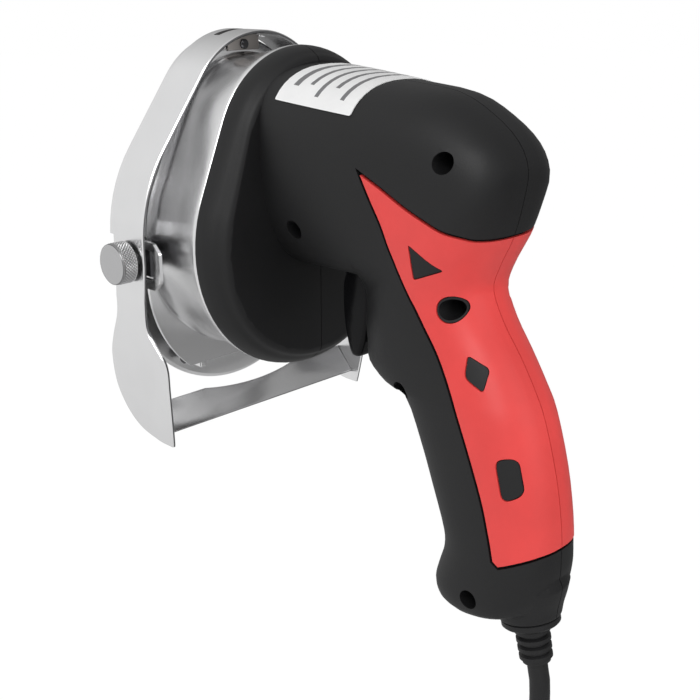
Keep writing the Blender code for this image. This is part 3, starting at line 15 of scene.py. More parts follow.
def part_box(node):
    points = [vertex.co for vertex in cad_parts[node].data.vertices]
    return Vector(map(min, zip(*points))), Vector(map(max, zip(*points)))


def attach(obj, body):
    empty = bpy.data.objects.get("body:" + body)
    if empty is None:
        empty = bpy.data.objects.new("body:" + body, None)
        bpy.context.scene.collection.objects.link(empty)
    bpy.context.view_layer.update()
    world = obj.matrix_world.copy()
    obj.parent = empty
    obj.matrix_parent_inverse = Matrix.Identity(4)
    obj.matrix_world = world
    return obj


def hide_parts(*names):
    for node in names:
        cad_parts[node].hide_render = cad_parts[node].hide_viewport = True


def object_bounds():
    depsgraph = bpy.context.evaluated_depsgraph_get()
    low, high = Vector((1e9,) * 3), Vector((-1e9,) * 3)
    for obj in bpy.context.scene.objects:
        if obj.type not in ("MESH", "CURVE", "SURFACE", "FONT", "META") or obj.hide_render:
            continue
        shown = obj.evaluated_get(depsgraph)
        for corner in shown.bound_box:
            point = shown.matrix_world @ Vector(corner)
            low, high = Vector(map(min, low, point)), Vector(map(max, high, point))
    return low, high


bl_info = {
    "name": "Round-blade slicer",
    "version": (1, 0, 0),
    "blender": (4, 5, 0),
    "location": "View3D > Sidebar > Slicer",
    "description": "Builds the fine surface of a hand-held electric slicer",
    "category": "Object",
}

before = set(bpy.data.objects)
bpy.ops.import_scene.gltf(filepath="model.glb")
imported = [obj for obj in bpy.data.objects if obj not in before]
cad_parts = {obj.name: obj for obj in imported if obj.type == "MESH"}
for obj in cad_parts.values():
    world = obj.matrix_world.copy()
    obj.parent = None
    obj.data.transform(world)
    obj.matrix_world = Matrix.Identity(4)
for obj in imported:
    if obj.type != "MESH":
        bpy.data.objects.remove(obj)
CAD_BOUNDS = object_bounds()

MM = 0.001
GAP = 0.0003
SHIFT = Vector((0.0, -0.1340, 0.0400))
WELD_DISTANCE = 0.000002
SIDES = (("left", 1), ("right", -1))
X_AXIS = (1, 0, 0)
DOWN = (0, 0, -1)

# Blade, spindle and what clamps the blade
BLADE_T = 0.0015
BLADE_BEVEL = 0.0013
BLADE_HUB_RISE = 0.0002
BLADE_WASHER_R = 0.0095
HUB_R = 0.0110
SPINDLE_R = 0.0050
SPINDLE_TIP_R = 0.0040
SPINDLE_TIP_Y = -0.0085
HUB_W = 0.0048
SPINDLE_STEP_Y = 0.0335
SPINDLE_END_Y = 0.0414
SPINDLE_END_R = 0.0040
BLADE_STEPS = 240
BLADE_NUT_R = 0.0068
BLADE_NUT_H = 0.0045

# Egg outlines: a low circle and a smaller high one
EGG_LOW_Z = 0.0153
EGG_HIGH_Z = 0.0442
EGG_LOW_STEPS = 52
EGG_HIGH_STEPS = 32
STRAP_LOW_Z = 0.0151
STRAP_HIGH_Z = 0.0526

# Guard
GUARD_SHEET = 0.0013
GUARD_BACK_Y = 0.0120
GUARD_LIP_Y = -0.0015
GUARD_R = 0.0535
GUARD_TOP_R = 0.0312
GUARD_FILLET = 0.0050
GUARD_PLATE_R = 0.0474
GUARD_STEP_Z = 0.0170
GUARD_FLAT_Z = -0.0362
TAB_X = 0.0527
TAB_END_Y = 0.0265
TAB_TOP_Z = 0.0240
TIE_ROD_R = 0.0020
TIE_ROD_HALF = 0.0295
TIE_ROD_Y = 0.0050
TIE_ROD_Z = -0.0355
TIE_LUG_X = 0.0240
TIE_LUG_HALF = 0.0032
TIE_LUG_HALF_T = 0.0015
TAB_CORNER = 0.0035
CREST_BLOCK_HALF = 0.0073
CREST_BLOCK_FRONT_Y = 0.0075
CREST_BLOCK_Z = (0.0790, 0.0900)
CREST_SCREW_Z = 0.0811
CREST_SCREW_HEAD_R = 0.0018
CREST_SCREW_SHANK_R = 0.0008

# Slice guide
STRAP_R = 0.0561
STRAP_TOP_R = 0.0338
STRAP_T = 0.0013
STRAP_FRONT_Y = 0.0042
STRAP_BACK_Y = 0.0219
LEAF_BEND_Z = -0.0045
LEAF_LEAN = math.radians(6.9)
LEAF_FOOT_Z = -0.0609
LEAF_SECTIONS = 60
HOOP_SLOT = ((-0.0110, 0.0088, 0.070), (0.0110, 0.0122, 0.095))
GUIDE_TRAVEL = 0.0075
PLATE_TOP = (0.0111, -0.0474)
PLATE_LOW = (0.0204, -0.0563)
PLATE_ARC_HALF = 0.0237
PLATE_ARC_DEPTH = 0.0028

# The leaf's front and back edges in millimetres, as (z, y)
LEAF_FRONT = ((8.7, 4.2), (-3.6, 3.4), (-12.0, 1.5), (-21.7, -3.8), (-30.3, -7.2), (-42.5, -7.5),
              (-52.0, -3.0), (-57.9, 4.1), (-60.4, 13.5), (-60.9, 17.5))
LEAF_BACK = ((8.7, 21.9), (-3.6, 20.6), (-14.5, 19.0), (-20.0, 22.6), (-27.3, 27.4), (-38.7, 26.5),
             (-59.7, 23.8), (-60.9, 22.6))

# Clamps
CLAMP_Y = 0.0130
CLAMP_Z = 0.0096
KNOB_R = 0.0075
KNOB_W = 0.0065
KNOB_END_X = 0.0634
STUD_R = 0.0020
NUT_T = 0.0024
NUT_HALF = 0.0058
SLOT_LOW_Z = 0.0036
SLOT_TOP_Z = 0.0140
KNOB_NECK_R = 0.0045
KNOB_BORE_END_X = KNOB_END_X - 0.0015
# Painted shade in the knurl's grooves and painted highlight on its crests, as factors on the knob's
# colour
KNURL_PAINTED_LIGHT = (0.25, 1.45)
STUD_START_X = 0.0489
STUD_END_X = KNOB_BORE_END_X - GAP
STUD_RINGS = 120
THREAD_SHARE = 0.14

# Gear housing
BELL_FRONT_Y = GUARD_BACK_Y + GAP
BELL_BACK_Y = 0.0417
BELL_ROWS = ((BELL_FRONT_Y, 0.0472, 0.0339), (0.0126, 0.0476, 0.0343), (0.0140, 0.0468, 0.0335),
             (0.0175, 0.0460, 0.0332), (0.0240, 0.0464, 0.0342), (0.0330, 0.0476, 0.0361),
             (0.0395, 0.0487, 0.0376), (0.0411, 0.0489, 0.0378), (BELL_BACK_Y, 0.0486, 0.0375))
BELL_ROOM_ROWS = ((0.0150, 0.0422, 0.0294), (0.0155, 0.0430, 0.0302), (0.0175, 0.0435, 0.0307),
                  (0.0240, 0.0439, 0.0317), (0.0330, 0.0451, 0.0336), (0.0398, 0.0462, 0.0351))
SPINDLE_HOLE_R = 0.0060
BEARING_LIP = 0.0015
BEARING_W = 0.0077
BEARING_SEAT_R = 0.0113
BEARING_BOSS_R = 0.0142
BEARING_BOSS_END = BELL_FRONT_Y + BEARING_LIP + BEARING_W + 2 * GAP

# Casing
FLANGE_ROWS = ((0.0420, 0.0486, 0.0375), (0.0424, 0.0489, 0.0378), (0.0452, 0.0482, 0.0375),
               (0.0480, 0.0466, 0.0366), (0.0498, 0.0447, 0.0355), (0.0514, 0.0434, 0.0344),
               (0.0522, 0.0415, 0.0330))
FLANGE_RECESS = ((0.0400, 0.0459, 0.0348), (0.0490, 0.0415, 0.0322))
BARREL_HALF = 0.0280
GRIP_HALF = 0.0190
CASING_WALL = 0.0030
CAVITY_FRONT_Y = 0.045
COVER_T = 0.0015
COVER_PROUD = 0.0002
SCREW_HOLE_R = 0.0033
SCREW_SHANK_R = 0.0015
SCREW_HEAD_X = 0.0060
SCREW_SEAT_X = SCREW_HEAD_X - 0.003
SCREW_TIP_X = -0.0120
SCREW_HOLE_X = (-0.0135, 0.040)
SCREW_BOSS_R = 0.0055
SCREW_CROSS = ((0.0004, 0.0017), (0.0017, 0.0004))
TRIGGER_HALF = 0.0080
TRIGGER_PIVOT = (0.0770, 0.0120)
TRIGGER_MOUTH = [(0.0703, 0.0), (0.0703, 0.0158), (0.0920, 0.0158), (0.0920, -0.0100),
                 (0.0840, -0.0175), (0.0780, -0.0175)]
LABEL_Y = (0.0578, 0.0912)
LABEL_LOW_Z = (0.0664, 0.0637)
LABEL_TOP_Z = 0.0850
LABEL_FILM = (0.0001, 0.00035)
LABEL_RULES = ((0.0632, 0.0165), (0.0692, 0.0150), (0.0745, 0.0185), (0.0798, 0.0140),
               (0.0851, 0.0175))
LABEL_RULES_X = 0.0045
LABEL_RULE_HALF = (0.0012, 0.00085)
LABEL_RULE_GREY = (0.16, 0.16, 0.165, 1.0)

# Trigger in side view, in millimetres, as (y, z)
TRIGGER_OUTLINE = ((73.6, 12.0), (74.3, 14.0), (76.0, 15.2), (78.0, 15.2), (80.5, 13.5),
                   (83.2, 8.0), (83.5, 2.0), (83.3, -6.0), (82.3, -13.0), (80.5, -19.0),
                   (79.3, -21.6), (77.0, -22.4), (74.8, -21.4), (72.8, -16.0), (71.4, -9.0),
                   (70.9, -1.0), (71.2, 4.0), (72.5, 8.0))

# Side view of the casing in millimetres: y and z on the underside or the grip's front, y and z
# across from it on the top or the grip's back, the share of the barrel's extra width, and how far
# up the section its widest line lies
CASING_ROWS = (
    (50.0, 7.0, 50.0, 76.7, 1.00, 0.69),
    (65.0, 7.0, 68.0, 75.4, 1.00, 0.69),
    (81.0, 7.0, 93.0, 73.0, 0.92, 0.68),
    (83.5, 5.2, 114.0, 71.0, 0.73, 0.64),
    (83.9, 3.4, 127.3, 65.4, 0.57, 0.62),
    (84.0, 1.8, 137.0, 58.2, 0.45, 0.59),
    (84.0, -0.3, 141.2, 50.0, 0.34, 0.56),
    (84.0, -2.2, 140.0, 40.0, 0.27, 0.54),
    (84.0, -4.0, 137.2, 29.3, 0.20, 0.53),
    (84.0, -6.4, 131.7, 17.5, 0.13, 0.52),
    (84.0, -9.0, 130.4, 10.5, 0.09, 0.51),
    (84.0, -13.4, 135.0, 1.0, 0.05, 0.50),
    (84.3, -20.2, 142.0, -8.5, 0.02, 0.50),
    (91.0, -25.0, 148.3, -18.6, 0.01, 0.50),
    (100.8, -27.4, 152.6, -27.5, 0.00, 0.50),
    (107.8, -40.0, 158.0, -45.0, -0.01, 0.50),
    (114.4, -55.5, 161.0, -61.0, -0.02, 0.50),
    (120.0, -69.0, 162.0, -74.0, -0.01, 0.50),
    (120.8, -76.5, 161.9, -79.0, 0.01, 0.50),
    (118.8, -84.0, 161.3, -83.5, 0.05, 0.50),
    (117.6, -89.5, 160.3, -87.5, 0.06, 0.50),
    (119.3, -94.5, 158.3, -91.0, -0.04, 0.50),
    (124.5, -98.0, 154.5, -93.2, -0.33, 0.50),
)
SCREW_PLACES = {
    "barrel": (0.0640, 0.0237),
    "tail": (0.1256, 0.0526),
    "neck": (0.1254, 0.0066),
    "chin": (0.1074, -0.0244),
    "heel": (0.1400, -0.0880),
}

# The tail's section is squarer than the barrel's, most of all at this height in millimetres
TAIL_HEIGHT = 48.0
TAIL_SPREAD = 24.0
TAIL_SQUARENESS = 0.9

# Red cover in side view, in millimetres, as (y, z)
COVER_FRONT = ((97.3, 46.4), (103.5, 32.3), (107.4, 21.2), (116.5, 3.3), (124.5, -9.5),
               (133.7, -28.3), (142.4, -49.6), (146.3, -62.5), (148.4, -71.0))
COVER_LOW = ((150.2, -72.4), (156.0, -69.9), (160.0, -68.3), (170.0, -66.0))
COVER_TOP = ((170.0, 28.0), (150.0, 28.6), (135.8, 29.0), (130.3, 30.5), (125.1, 31.9),
             (118.7, 34.7), (111.6, 38.2), (104.5, 42.4), (97.3, 46.4))
PADS = {
    "triangle": ((114.1, 25.9), (124.4, 19.6), (115.3, 15.8)),
    "diamond": ((132.7, -7.1), (138.8, -10.5), (138.9, -16.9), (133.2, -13.4)),
    "tablet": ((146.2, -37.4), (151.5, -36.4), (154.7, -47.6), (149.7, -50.3)),
}
PAD_ROUNDING = {"triangle": 0.0012, "diamond": 0.0018, "tablet": 0.0030}
PAD_GROWTH = 0.0004
SCREW_RING_R = (0.0040, 0.0043)
COVER_GROOVE = 0.0010

# Cord, strain relief and plug
CORD_R = 0.0035
RELIEF_START = Vector((0, 0.1515, -0.0970))
RELIEF_AXIS = Vector((0, 0.225, -0.974)).normalized()
RELIEF_LENGTH = 0.0165
RELIEF_FOOT = 0.0042
RELIEF_ROOT = -0.0095
RELIEF_ROOT_R = 0.0070
RELIEF_END_R = 0.0048
RELIEF_BORE_R = 0.0036
NECK_ROOT = -0.020
NECK_ROWS = ((-0.012, 0.0148), (-0.008, 0.0134), (-0.004, 0.0117), (-0.0008, 0.0107),
             (-GAP, 0.0102))
COLLAR_R = 0.0100
COIL_TURNS = 3
COIL_MEAN_R = 0.0380
COIL_PITCH = 0.0076
COIL_CENTRE = (0.1035, -0.2330)
COIL_POINTS = 36
TAIL_LENGTH = 0.0430
TIE_HALF_Z = 0.0024
PLUG_LENGTH = 0.0350
PLUG_HALF_X = 0.0175
PLUG_HALF_Y = 0.0065
PLUG_ROWS = ((0.0, 0.0046, 0.0046), (0.0006, 0.0052, 0.0052), (0.0060, 0.0056, 0.0056),
             (0.0120, 0.0085, 0.0060), (0.0200, 0.0140, PLUG_HALF_Y),
             (PLUG_LENGTH - 0.0060, PLUG_HALF_X, PLUG_HALF_Y),
             (PLUG_LENGTH - 0.0014, PLUG_HALF_X, PLUG_HALF_Y),
             (PLUG_LENGTH, PLUG_HALF_X - 0.0010, PLUG_HALF_Y - 0.0010))
PIN_SOCKET = 0.008
PIN_SPACING = 0.0190
PIN_R = 0.0020
PIN_LENGTH = 0.0190

# Camera: place in the finished frame, view direction and focal length for a square picture
CAMERA_PLACE = (0.2643, 0.1929, 0.1431)
CAMERA_AZIMUTH = math.radians(134.51)
CAMERA_ELEVATION = math.radians(18.95)
CAMERA_LENS = 55.37

# Stage
FLOOR_DROP = 0.0005
FLOOR_WHITE = 1.02
FLOOR_SEEN = 0.97
FLOOR_MIRRORED = 0.96
AMBIENT = 0.45

# What polished metal sees of the floor and the surroundings: two values of x, and the brightness
# at each
FLOOR_TONES = (-0.6, 0.4, 0.20, 0.88)
WORLD_TONES = (-0.75, 0.2, 0.30, 0.90)

# Lamps: name, place, size, power, and whether polished metal mirrors the lamp
LAMPS = (("key", (0.9, 0.55, 0.95), 0.8, 9.0, True),
         ("fill", (0.95, -0.75, 0.10), 0.9, 4.0, False),
         ("rear", (-0.25, 1.1, 0.35), 0.9, 5.0, False))
LAMP_TARGET = (0.0, -0.03, 0.02)

# How strongly a pattern marks a moulded and a metal finish
PLASTIC = {"metallic": 0.0, "mark": "Marks", "tones": (0.86, 1.14), "spread": 0.07,
           "strength": 0.35}
METAL = {"metallic": 1.0, "mark": "Smudge", "tones": (0.93, 1.05), "spread": 0.06,
         "strength": 0.25}
INNER_FINISHES = {
    "cast_alloy": ("bearing_plate",),
    "turned_steel": ("spindle_bearing_front", "spindle_bearing_rear", "motor_bearing_front",
                     "motor_bearing_rear", "trigger_pin", "motor_shaft"),
    "gear_steel": ("driven_gear", "pinion"),
    "core_iron": ("stator_core", "armature_core"),
    "winding_copper": ("field_coil_front", "field_coil_rear", "armature_winding_front",
                       "armature_winding_rear", "commutator"),
    "brush_carbon": ("brush_left", "brush_right"),
    "inner_plastic": ("fan", "switch_body", "switch_plunger"),
}

LOOKS = {}


# Curves and outlines

def catmull(points, parts, closed=False):
    """Points along a smooth curve through tuples of any length."""
    points = [tuple(point) for point in points]
    if closed:
        ends = [points[-1]] + points + points[:2]
    else:
        first = tuple(2 * a - b for a, b in zip(points[0], points[1]))
        last = tuple(2 * a - b for a, b in zip(points[-1], points[-2]))
        ends = [first] + points + [last]
    made = []
    for a, b, c, d in zip(ends, ends[1:], ends[2:], ends[3:]):
        for step in range(parts):
            t = step / parts
            made.append(tuple(
                0.5 * (2 * q + (r - p) * t + (2 * p - 5 * q + 4 * r - s) * t * t
                       + (3 * q - p - 3 * r + s) * t ** 3) for p, q, r, s in zip(a, b, c, d)))
    if not closed:
        made.append(points[-1])
    return made


def even_route(points, spacing):
    """Points at an even spacing along a smooth curve through the given points."""
    fine = [Vector(point) for point in catmull(points, 40)]
    lengths = [(q - p).length for p, q in zip(fine, fine[1:])]
    count = max(2, round(sum(lengths) / spacing))
    goal = sum(lengths) / count
    made = [fine[0]]
    run = 0.0
    for point, length in zip(fine[1:], lengths):
        run += length
        if run >= goal * len(made) - 1e-9 and len(made) < count:
            made.append(point)
    return made + [fine[-1]]


def read_curve(rows, value):
    """Second number at a value of the first, on a smooth curve whose first numbers fall."""
    for (a, first), (b, second) in zip(rows, rows[1:]):
        if value >= b:
            share = min(1.0, max(0.0, (a - value) / max(1e-9, a - b)))
            return first + (second - first) * share
    return rows[-1][1]


def span(sign, near, far):
    """Lower and upper x of what lies between two distances from the middle plane."""
    return sorted((sign * near, sign * far))


def grown(outline, distance):
    """A closed outline moved outwards by a distance, corner by corner."""
    area = sum(a[0] * b[1] - b[0] * a[1] for a, b in zip(outline, outline[1:] + outline[:1]))
    sign = 1 if area > 0 else -1
    made = []
    for before, here, after in zip(outline[-1:] + outline, outline, outline[1:] + outline[:1]):
        one = Vector((here[0] - before[0], here[1] - before[1])).normalized()
        two = Vector((after[0] - here[0], after[1] - here[1])).normalized()
        normal = Vector((one.y + two.y, -one.x - two.x)).normalized() * sign
        share = max(0.35, normal.dot(Vector((one.y, -one.x)) * sign))
        made.append((here[0] + normal.x * distance / share, here[1] + normal.y * distance / share))
    return made


def rounded(corners, radius, steps=6):
    """A closed outline whose corners are rounded."""
    made = []
    for before, here, after in zip(corners[-1:] + corners, corners, corners[1:] + corners[:1]):
        here = Vector(here)
        back = Vector(before) - here
        ahead = Vector(after) - here
        near = here + back.normalized() * min(radius, back.length * 0.45)
        far = here + ahead.normalized() * min(radius, ahead.length * 0.45)
        for step in range(steps + 1):
            t = step / steps
            point = near * (1 - t) ** 2 + here * 2 * t * (1 - t) + far * t ** 2
            made.append((point.x, point.y))
    return made


def egg(y, low_r, high_r, low_z=EGG_LOW_Z, high_z=EGG_HIGH_Z):
    """The hull of a low circle and a smaller high one, as one ring at depth y."""
    lean = math.asin((low_r - high_r) / (high_z - low_z))
    ring = []
    for step in range(EGG_LOW_STEPS + 1):
        angle = lean - (math.pi + 2 * lean) * step / EGG_LOW_STEPS
        ring.append((low_r * math.cos(angle), y, low_z + low_r * math.sin(angle)))
    for step in range(EGG_HIGH_STEPS + 1):
        angle = math.pi - lean - (math.pi - 2 * lean) * step / EGG_HIGH_STEPS
        ring.append((high_r * math.cos(angle), y, high_z + high_r * math.sin(angle)))
    return ring


def casing_section(row, inset=0.0, steps=12):
    """One section of the casing, moved inwards by inset."""
    y_in, z_in, y_out, z_out, share, widest = row
    near = Vector((y_in, z_in)) * MM
    far = Vector((y_out, z_out)) * MM
    along = (far - near).normalized()
    near += along * inset
    far -= along * inset
    half = GRIP_HALF + share * (BARREL_HALF - GRIP_HALF) - inset
    tail = max(0.0, 1.0 - abs(z_out - TAIL_HEIGHT) / TAIL_SPREAD)
    outer_power = 2 / (2.4 + TAIL_SQUARENESS * tail)
    side = []
    for step in range(steps + 1):
        angle = math.pi / 2 * (1 - step / steps)
        side.append((half * math.cos(angle) ** outer_power if step else 0.0,
                     widest + (1 - widest) * math.sin(angle) ** outer_power))
    for step in range(1, steps + 1):
        angle = math.pi / 2 * step / steps
        side.append((half * math.cos(angle) ** (2 / 2.5) if step < steps else 0.0,
                     widest - widest * math.sin(angle) ** (2 / 2.5)))
    full = side + [(-x, t) for x, t in side[-2:0:-1]]
    return [(x, near.x + (far.x - near.x) * t, near.y + (far.y - near.y) * t) for x, t in full]


def casing_form(inset=0.0, steps=12, parts=3, rows=CASING_ROWS, front_y=None):
    """Closed loft of the casing's outer form, moved inwards by inset."""
    rings = [casing_section(row, inset, steps) for row in catmull(rows, parts)]
    if front_y is not None:
        rings.insert(0, [(x, front_y, z) for x, _, z in rings[0]])
    return loft(rings)


def cover_outline():
    """Outline of the red cover in side view."""
    front = catmull(COVER_FRONT, 6)
    top = catmull(COVER_TOP, 5)[:-1]
    return [(y * MM, z * MM) for y, z in front + list(COVER_LOW) + top]


def pad_outlines():
    """Outlines of the windows in the red cover."""
    outlines = [rounded(grown([(y * MM, z * MM) for y, z in corners], PAD_GROWTH),
                        PAD_ROUNDING[name]) for name, corners in PADS.items()]
    y, z = SCREW_PLACES["neck"]
    outlines.append([(y + SCREW_RING_R[0] * math.cos(math.pi * a / 20),
                      z + SCREW_RING_R[1] * math.sin(math.pi * a / 20)) for a in range(40)])
    return outlines


# Meshes

def loft(rings, closed=False):
    """A skin through rings of equal count: bridged circles, with flat ends unless closed."""
    bm = bmesh.new()
    loops = []
    for ring in rings:
        verts = bmesh.ops.create_circle(bm, segments=len(ring), radius=1.0)["verts"]
        for vert, point in zip(verts, ring):
            vert.co = point
        edges = {edge for vert in verts for edge in vert.link_edges}
        loops.append(list(edges))
    pairs = list(zip(loops, loops[1:]))
    if closed:
        pairs.append((loops[-1], loops[0]))
    for near, far in pairs:
        bmesh.ops.bridge_loops(bm, edges=near + far)
    if not closed:
        bmesh.ops.holes_fill(bm, edges=loops[0] + loops[-1], sides=0)
    bmesh.ops.recalc_face_normals(bm, faces=bm.faces)
    bmesh.ops.triangulate(bm, faces=bm.faces)
    return bm


def egg_skin(rows, ring=egg):
    """A skin through egg-shaped rings."""
    return loft([ring(*row) for row in rows])


def turned(profile, axis=(0, 1, 0), steps=64, base=(0, 0, 0), closed=False):
    """Spin a profile of (distance along the axis, radius) pairs round the axis."""
    bm = bmesh.new()
    points = [bm.verts.new((radius, 0, along)) for along, radius in profile]
    pairs = list(zip(points, points[1:]))
    if closed:
        pairs.append((points[-1], points[0]))
    edges = [bm.edges.new(pair) for pair in pairs]
    bmesh.ops.spin(bm, geom=points + edges, cent=(0, 0, 0), axis=(0, 0, 1), angle=2 * math.pi,
                   steps=steps, use_merge=True)
    bmesh.ops.remove_doubles(bm, verts=bm.verts, dist=1e-7)
    bmesh.ops.recalc_face_normals(bm, faces=bm.faces)
    turn = Vector((0, 0, 1)).rotation_difference(Vector(axis)).to_matrix().to_4x4()
    bmesh.ops.transform(bm, matrix=Matrix.Translation(base) @ turn, verts=bm.verts)
    return bm


def rod(start, end, radius, axis=(0, 1, 0), steps=48, base=(0, 0, 0)):
    """A plain round rod."""
    return turned([(start, 0), (start, radius), (end, radius), (end, 0)], axis, steps, base)


def block(low, high, bevel=0.0, segments=3):
    """A box between two corners, with rounded edges."""
    bm = bmesh.new()
    bmesh.ops.create_cube(bm, size=1.0)
    size = [b - a for a, b in zip(low, high)]
    middle = [(a + b) / 2 for a, b in zip(low, high)]
    bmesh.ops.transform(bm, matrix=Matrix.Translation(middle) @ Matrix.Diagonal((*size, 1.0)),
                        verts=bm.verts)
    if bevel:
        bmesh.ops.bevel(bm, geom=bm.edges[:], offset=bevel, segments=segments, profile=0.5,
                        affect="EDGES", material=-1)
    return bm


def extruded(corners, way):
    """A closed face drawn out along a vector."""
    bm = bmesh.new()
    face = bm.faces.new([bm.verts.new(corner) for corner in corners])
    made = bmesh.ops.extrude_face_region(bm, geom=[face])
    moved = [item for item in made["geom"] if isinstance(item, bmesh.types.BMVert)]
    bmesh.ops.translate(bm, verts=moved, vec=way)
    bmesh.ops.recalc_face_normals(bm, faces=bm.faces)
    return bm


def prism(outline, start, end):
    """Extrude a closed outline of (y, z) pairs along x."""
    return extruded([(start, y, z) for y, z in outline], (end - start, 0, 0))


def round_edges(bm, width, segments=3):
    """Round a mesh's sharp edges."""
    sharp = [edge for edge in bm.edges
             if len(edge.link_faces) == 2 and edge.calc_face_angle(0.0) > math.radians(50)]
    bmesh.ops.bevel(bm, geom=sharp, offset=width, segments=segments, profile=0.5,
                    affect="EDGES", material=-1, clamp_overlap=True)


def draft(name, bm):
    """A mesh object still in the construction frame."""
    mesh = bpy.data.meshes.new(name)
    bm.to_mesh(mesh)
    bm.free()
    made = bpy.data.objects.new(name, mesh)
    bpy.context.scene.collection.objects.link(made)
    return made


def carve(target, tool, operation="DIFFERENCE", keep_tool=False):
    """Apply one exact Boolean step to a draft."""
    if isinstance(tool, bmesh.types.BMesh):
        tool = draft("cutter", tool)
    step = target.modifiers.new("carve", "BOOLEAN")
    step.operation = operation
    step.solver = "EXACT"
    step.object = tool
    bpy.context.view_layer.update()
    seen = target.evaluated_get(bpy.context.evaluated_depsgraph_get())
    mesh = bpy.data.meshes.new_from_object(seen)
    target.modifiers.clear()
    old = target.data
    target.data = mesh
    bpy.data.meshes.remove(old)
    if not len(mesh.polygons):
        raise RuntimeError(f"{target.name} lost its mesh")
    if not keep_tool:
        bpy.data.objects.remove(tool)
    return target


def weld(made):
    """Join doubled corners that the Boolean steps leave."""
    bm = bmesh.new()
    bm.from_mesh(made.data)
    bmesh.ops.remove_doubles(bm, verts=bm.verts, dist=WELD_DISTANCE)
    bm.to_mesh(made.data)
    bm.free()


def finish_piece(made, look, body, part, angle=32.0, weighted=False):
    """Shade, shift and clothe a draft, and hang it on its body in place of one CAD node."""
    mesh = made.data
    mesh.transform(Matrix.Translation(SHIFT))
    mesh.shade_smooth()
    mesh.set_sharp_from_angle(angle=math.radians(angle))
    mesh.materials.clear()
    mesh.materials.append(LOOKS[look])
    if weighted:
        made.modifiers.new("even_normals", "WEIGHTED_NORMAL").keep_sharp = True
    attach(made, body)
    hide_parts(part)
    return made


def dull_edges_and_paint_shade(made, face_normal):
    """Give a sheet's sheared edges the duller, darker look, partly painted shade; face_normal gives
    the sheet's normal.
    """
    made.data.materials.append(LOOKS["cut_edge_and_painted_shade"])
    for face in made.data.polygons:
        if abs(face.normal.dot(face_normal(face))) < 0.6:
            face.material_index = 1


# Shader groups and materials

def node(tree, kind, inputs=None, **values):
    """Add a node, set its properties, and feed its inputs from outputs or constants."""
    made = tree.nodes.new("ShaderNode" + kind)
    for key, value in values.items():
        setattr(made, key, value)
    for key, value in (inputs or {}).items():
        if isinstance(value, bpy.types.NodeSocket):
            tree.links.new(value, made.inputs[key])
        else:
            made.inputs[key].default_value = value
    return made


def math_node(tree, operation, *values):
    """Output of a math node."""
    return node(tree, "Math", dict(enumerate(values)), operation=operation).outputs[0]


def vector_node(tree, operation, *values):
    """Output of a vector math node."""
    made = node(tree, "VectorMath", dict(enumerate(values)), operation=operation)
    return made.outputs["Value" if operation == "LENGTH" else "Vector"]


def scaled_vector(tree, vector, scale):
    """A vector or colour times a value."""
    return node(tree, "VectorMath", {0: vector, "Scale": scale}, operation="SCALE").outputs[0]


def coordinates(tree, kind="Object"):
    """Object coordinates, or another kind."""
    return node(tree, "TexCoord").outputs[kind]


def noise(tree, vector, scale, detail, roughness):
    """Noise value."""
    return node(tree, "TexNoise", {"Vector": vector, "Scale": scale, "Detail": detail,
                                   "Roughness": roughness}).outputs["Fac"]


def map_range(tree, value, low, high, start=0.0, end=1.0):
    """Map a value from start to end onto a range."""
    return node(tree, "MapRange", {"Value": value, "From Min": start, "From Max": end,
                                   "To Min": low, "To Max": high}).outputs[0]


def new_group(name, inputs, marks):
    """An empty shader group that gives a height and the named marks."""
    group = bpy.data.node_groups.new(name, "ShaderNodeTree")
    for label, kind, value in inputs:
        socket = group.interface.new_socket(label, in_out="INPUT", socket_type=kind)
        socket.default_value = value
    for label in ("Height", marks):
        group.interface.new_socket(label, in_out="OUTPUT", socket_type="NodeSocketFloat")
    source = group.nodes.new("NodeGroupInput")
    return group, source.outputs, group.nodes.new("NodeGroupOutput").inputs


def grain_group():
    """Moulded plastic: fine spark-eroded grain and broad handling marks."""
    group, source, sink = new_group(
        "moulded_grain", [("Scale", "NodeSocketFloat", 1400.0)], "Marks")
    place = coordinates(group)
    fine = noise(group, place, source["Scale"], 2.0, 0.6)
    cells = node(group, "TexVoronoi", {"Smoothness": 0.6, "Scale": source["Scale"],
                                       "Vector": place}, feature="SMOOTH_F1")
    height = math_node(group, "ADD", math_node(group, "MULTIPLY", fine, 0.6),
                       math_node(group, "MULTIPLY", cells.outputs["Distance"], 0.4))
    group.links.new(height, sink["Height"])
    group.links.new(noise(group, place, 46.0, 4.0, 0.62), sink["Marks"])
    return group


def rolled_group():
    """Sheet metal: fine rolled lines along one axis and light smudges."""
    group, source, sink = new_group(
        "rolled_lines", [("Along", "NodeSocketVector", (1.0, 1.0, 1.0))], "Smudge")
    place = coordinates(group)
    stretched = vector_node(group, "MULTIPLY", place, source["Along"])
    group.links.new(noise(group, stretched, 1.0, 4.0, 0.65), sink["Height"])
    group.links.new(noise(group, place, 60.0, 5.0, 0.6), sink["Smudge"])
    return group


def ring_group():
    """Turned or ground metal: fine rings round an axis parallel to Y, and light smudges."""
    group, source, sink = new_group(
        "ground_rings", [("Centre", "NodeSocketVector", (0.0, 0.0, 0.0)),
                         ("Scale", "NodeSocketFloat", 2600.0)], "Smudge")
    place = coordinates(group)
    away = vector_node(group, "SUBTRACT", place, source["Centre"])
    reach = vector_node(group, "LENGTH", vector_node(group, "MULTIPLY", away, (1.0, 0.0, 1.0)))
    rings = node(group, "TexNoise", noise_dimensions="1D")
    rings.inputs["Detail"].default_value = 3.0
    group.links.new(source["Scale"], rings.inputs["Scale"])
    group.links.new(reach, rings.inputs["W"])
    group.links.new(rings.outputs["Fac"], sink["Height"])
    group.links.new(noise(group, place, 55.0, 5.0, 0.6), sink["Smudge"])
    return group


def principled(name, colour, roughness):
    """A material, its tree and its shader, with constant values on the shader itself."""
    made = bpy.data.materials.new(name)
    made.use_nodes = True
    shader = made.node_tree.nodes["Principled BSDF"]
    shader.inputs["Base Color"].default_value = (*colour, 1.0)
    shader.inputs["Roughness"].default_value = roughness
    return made, made.node_tree, shader


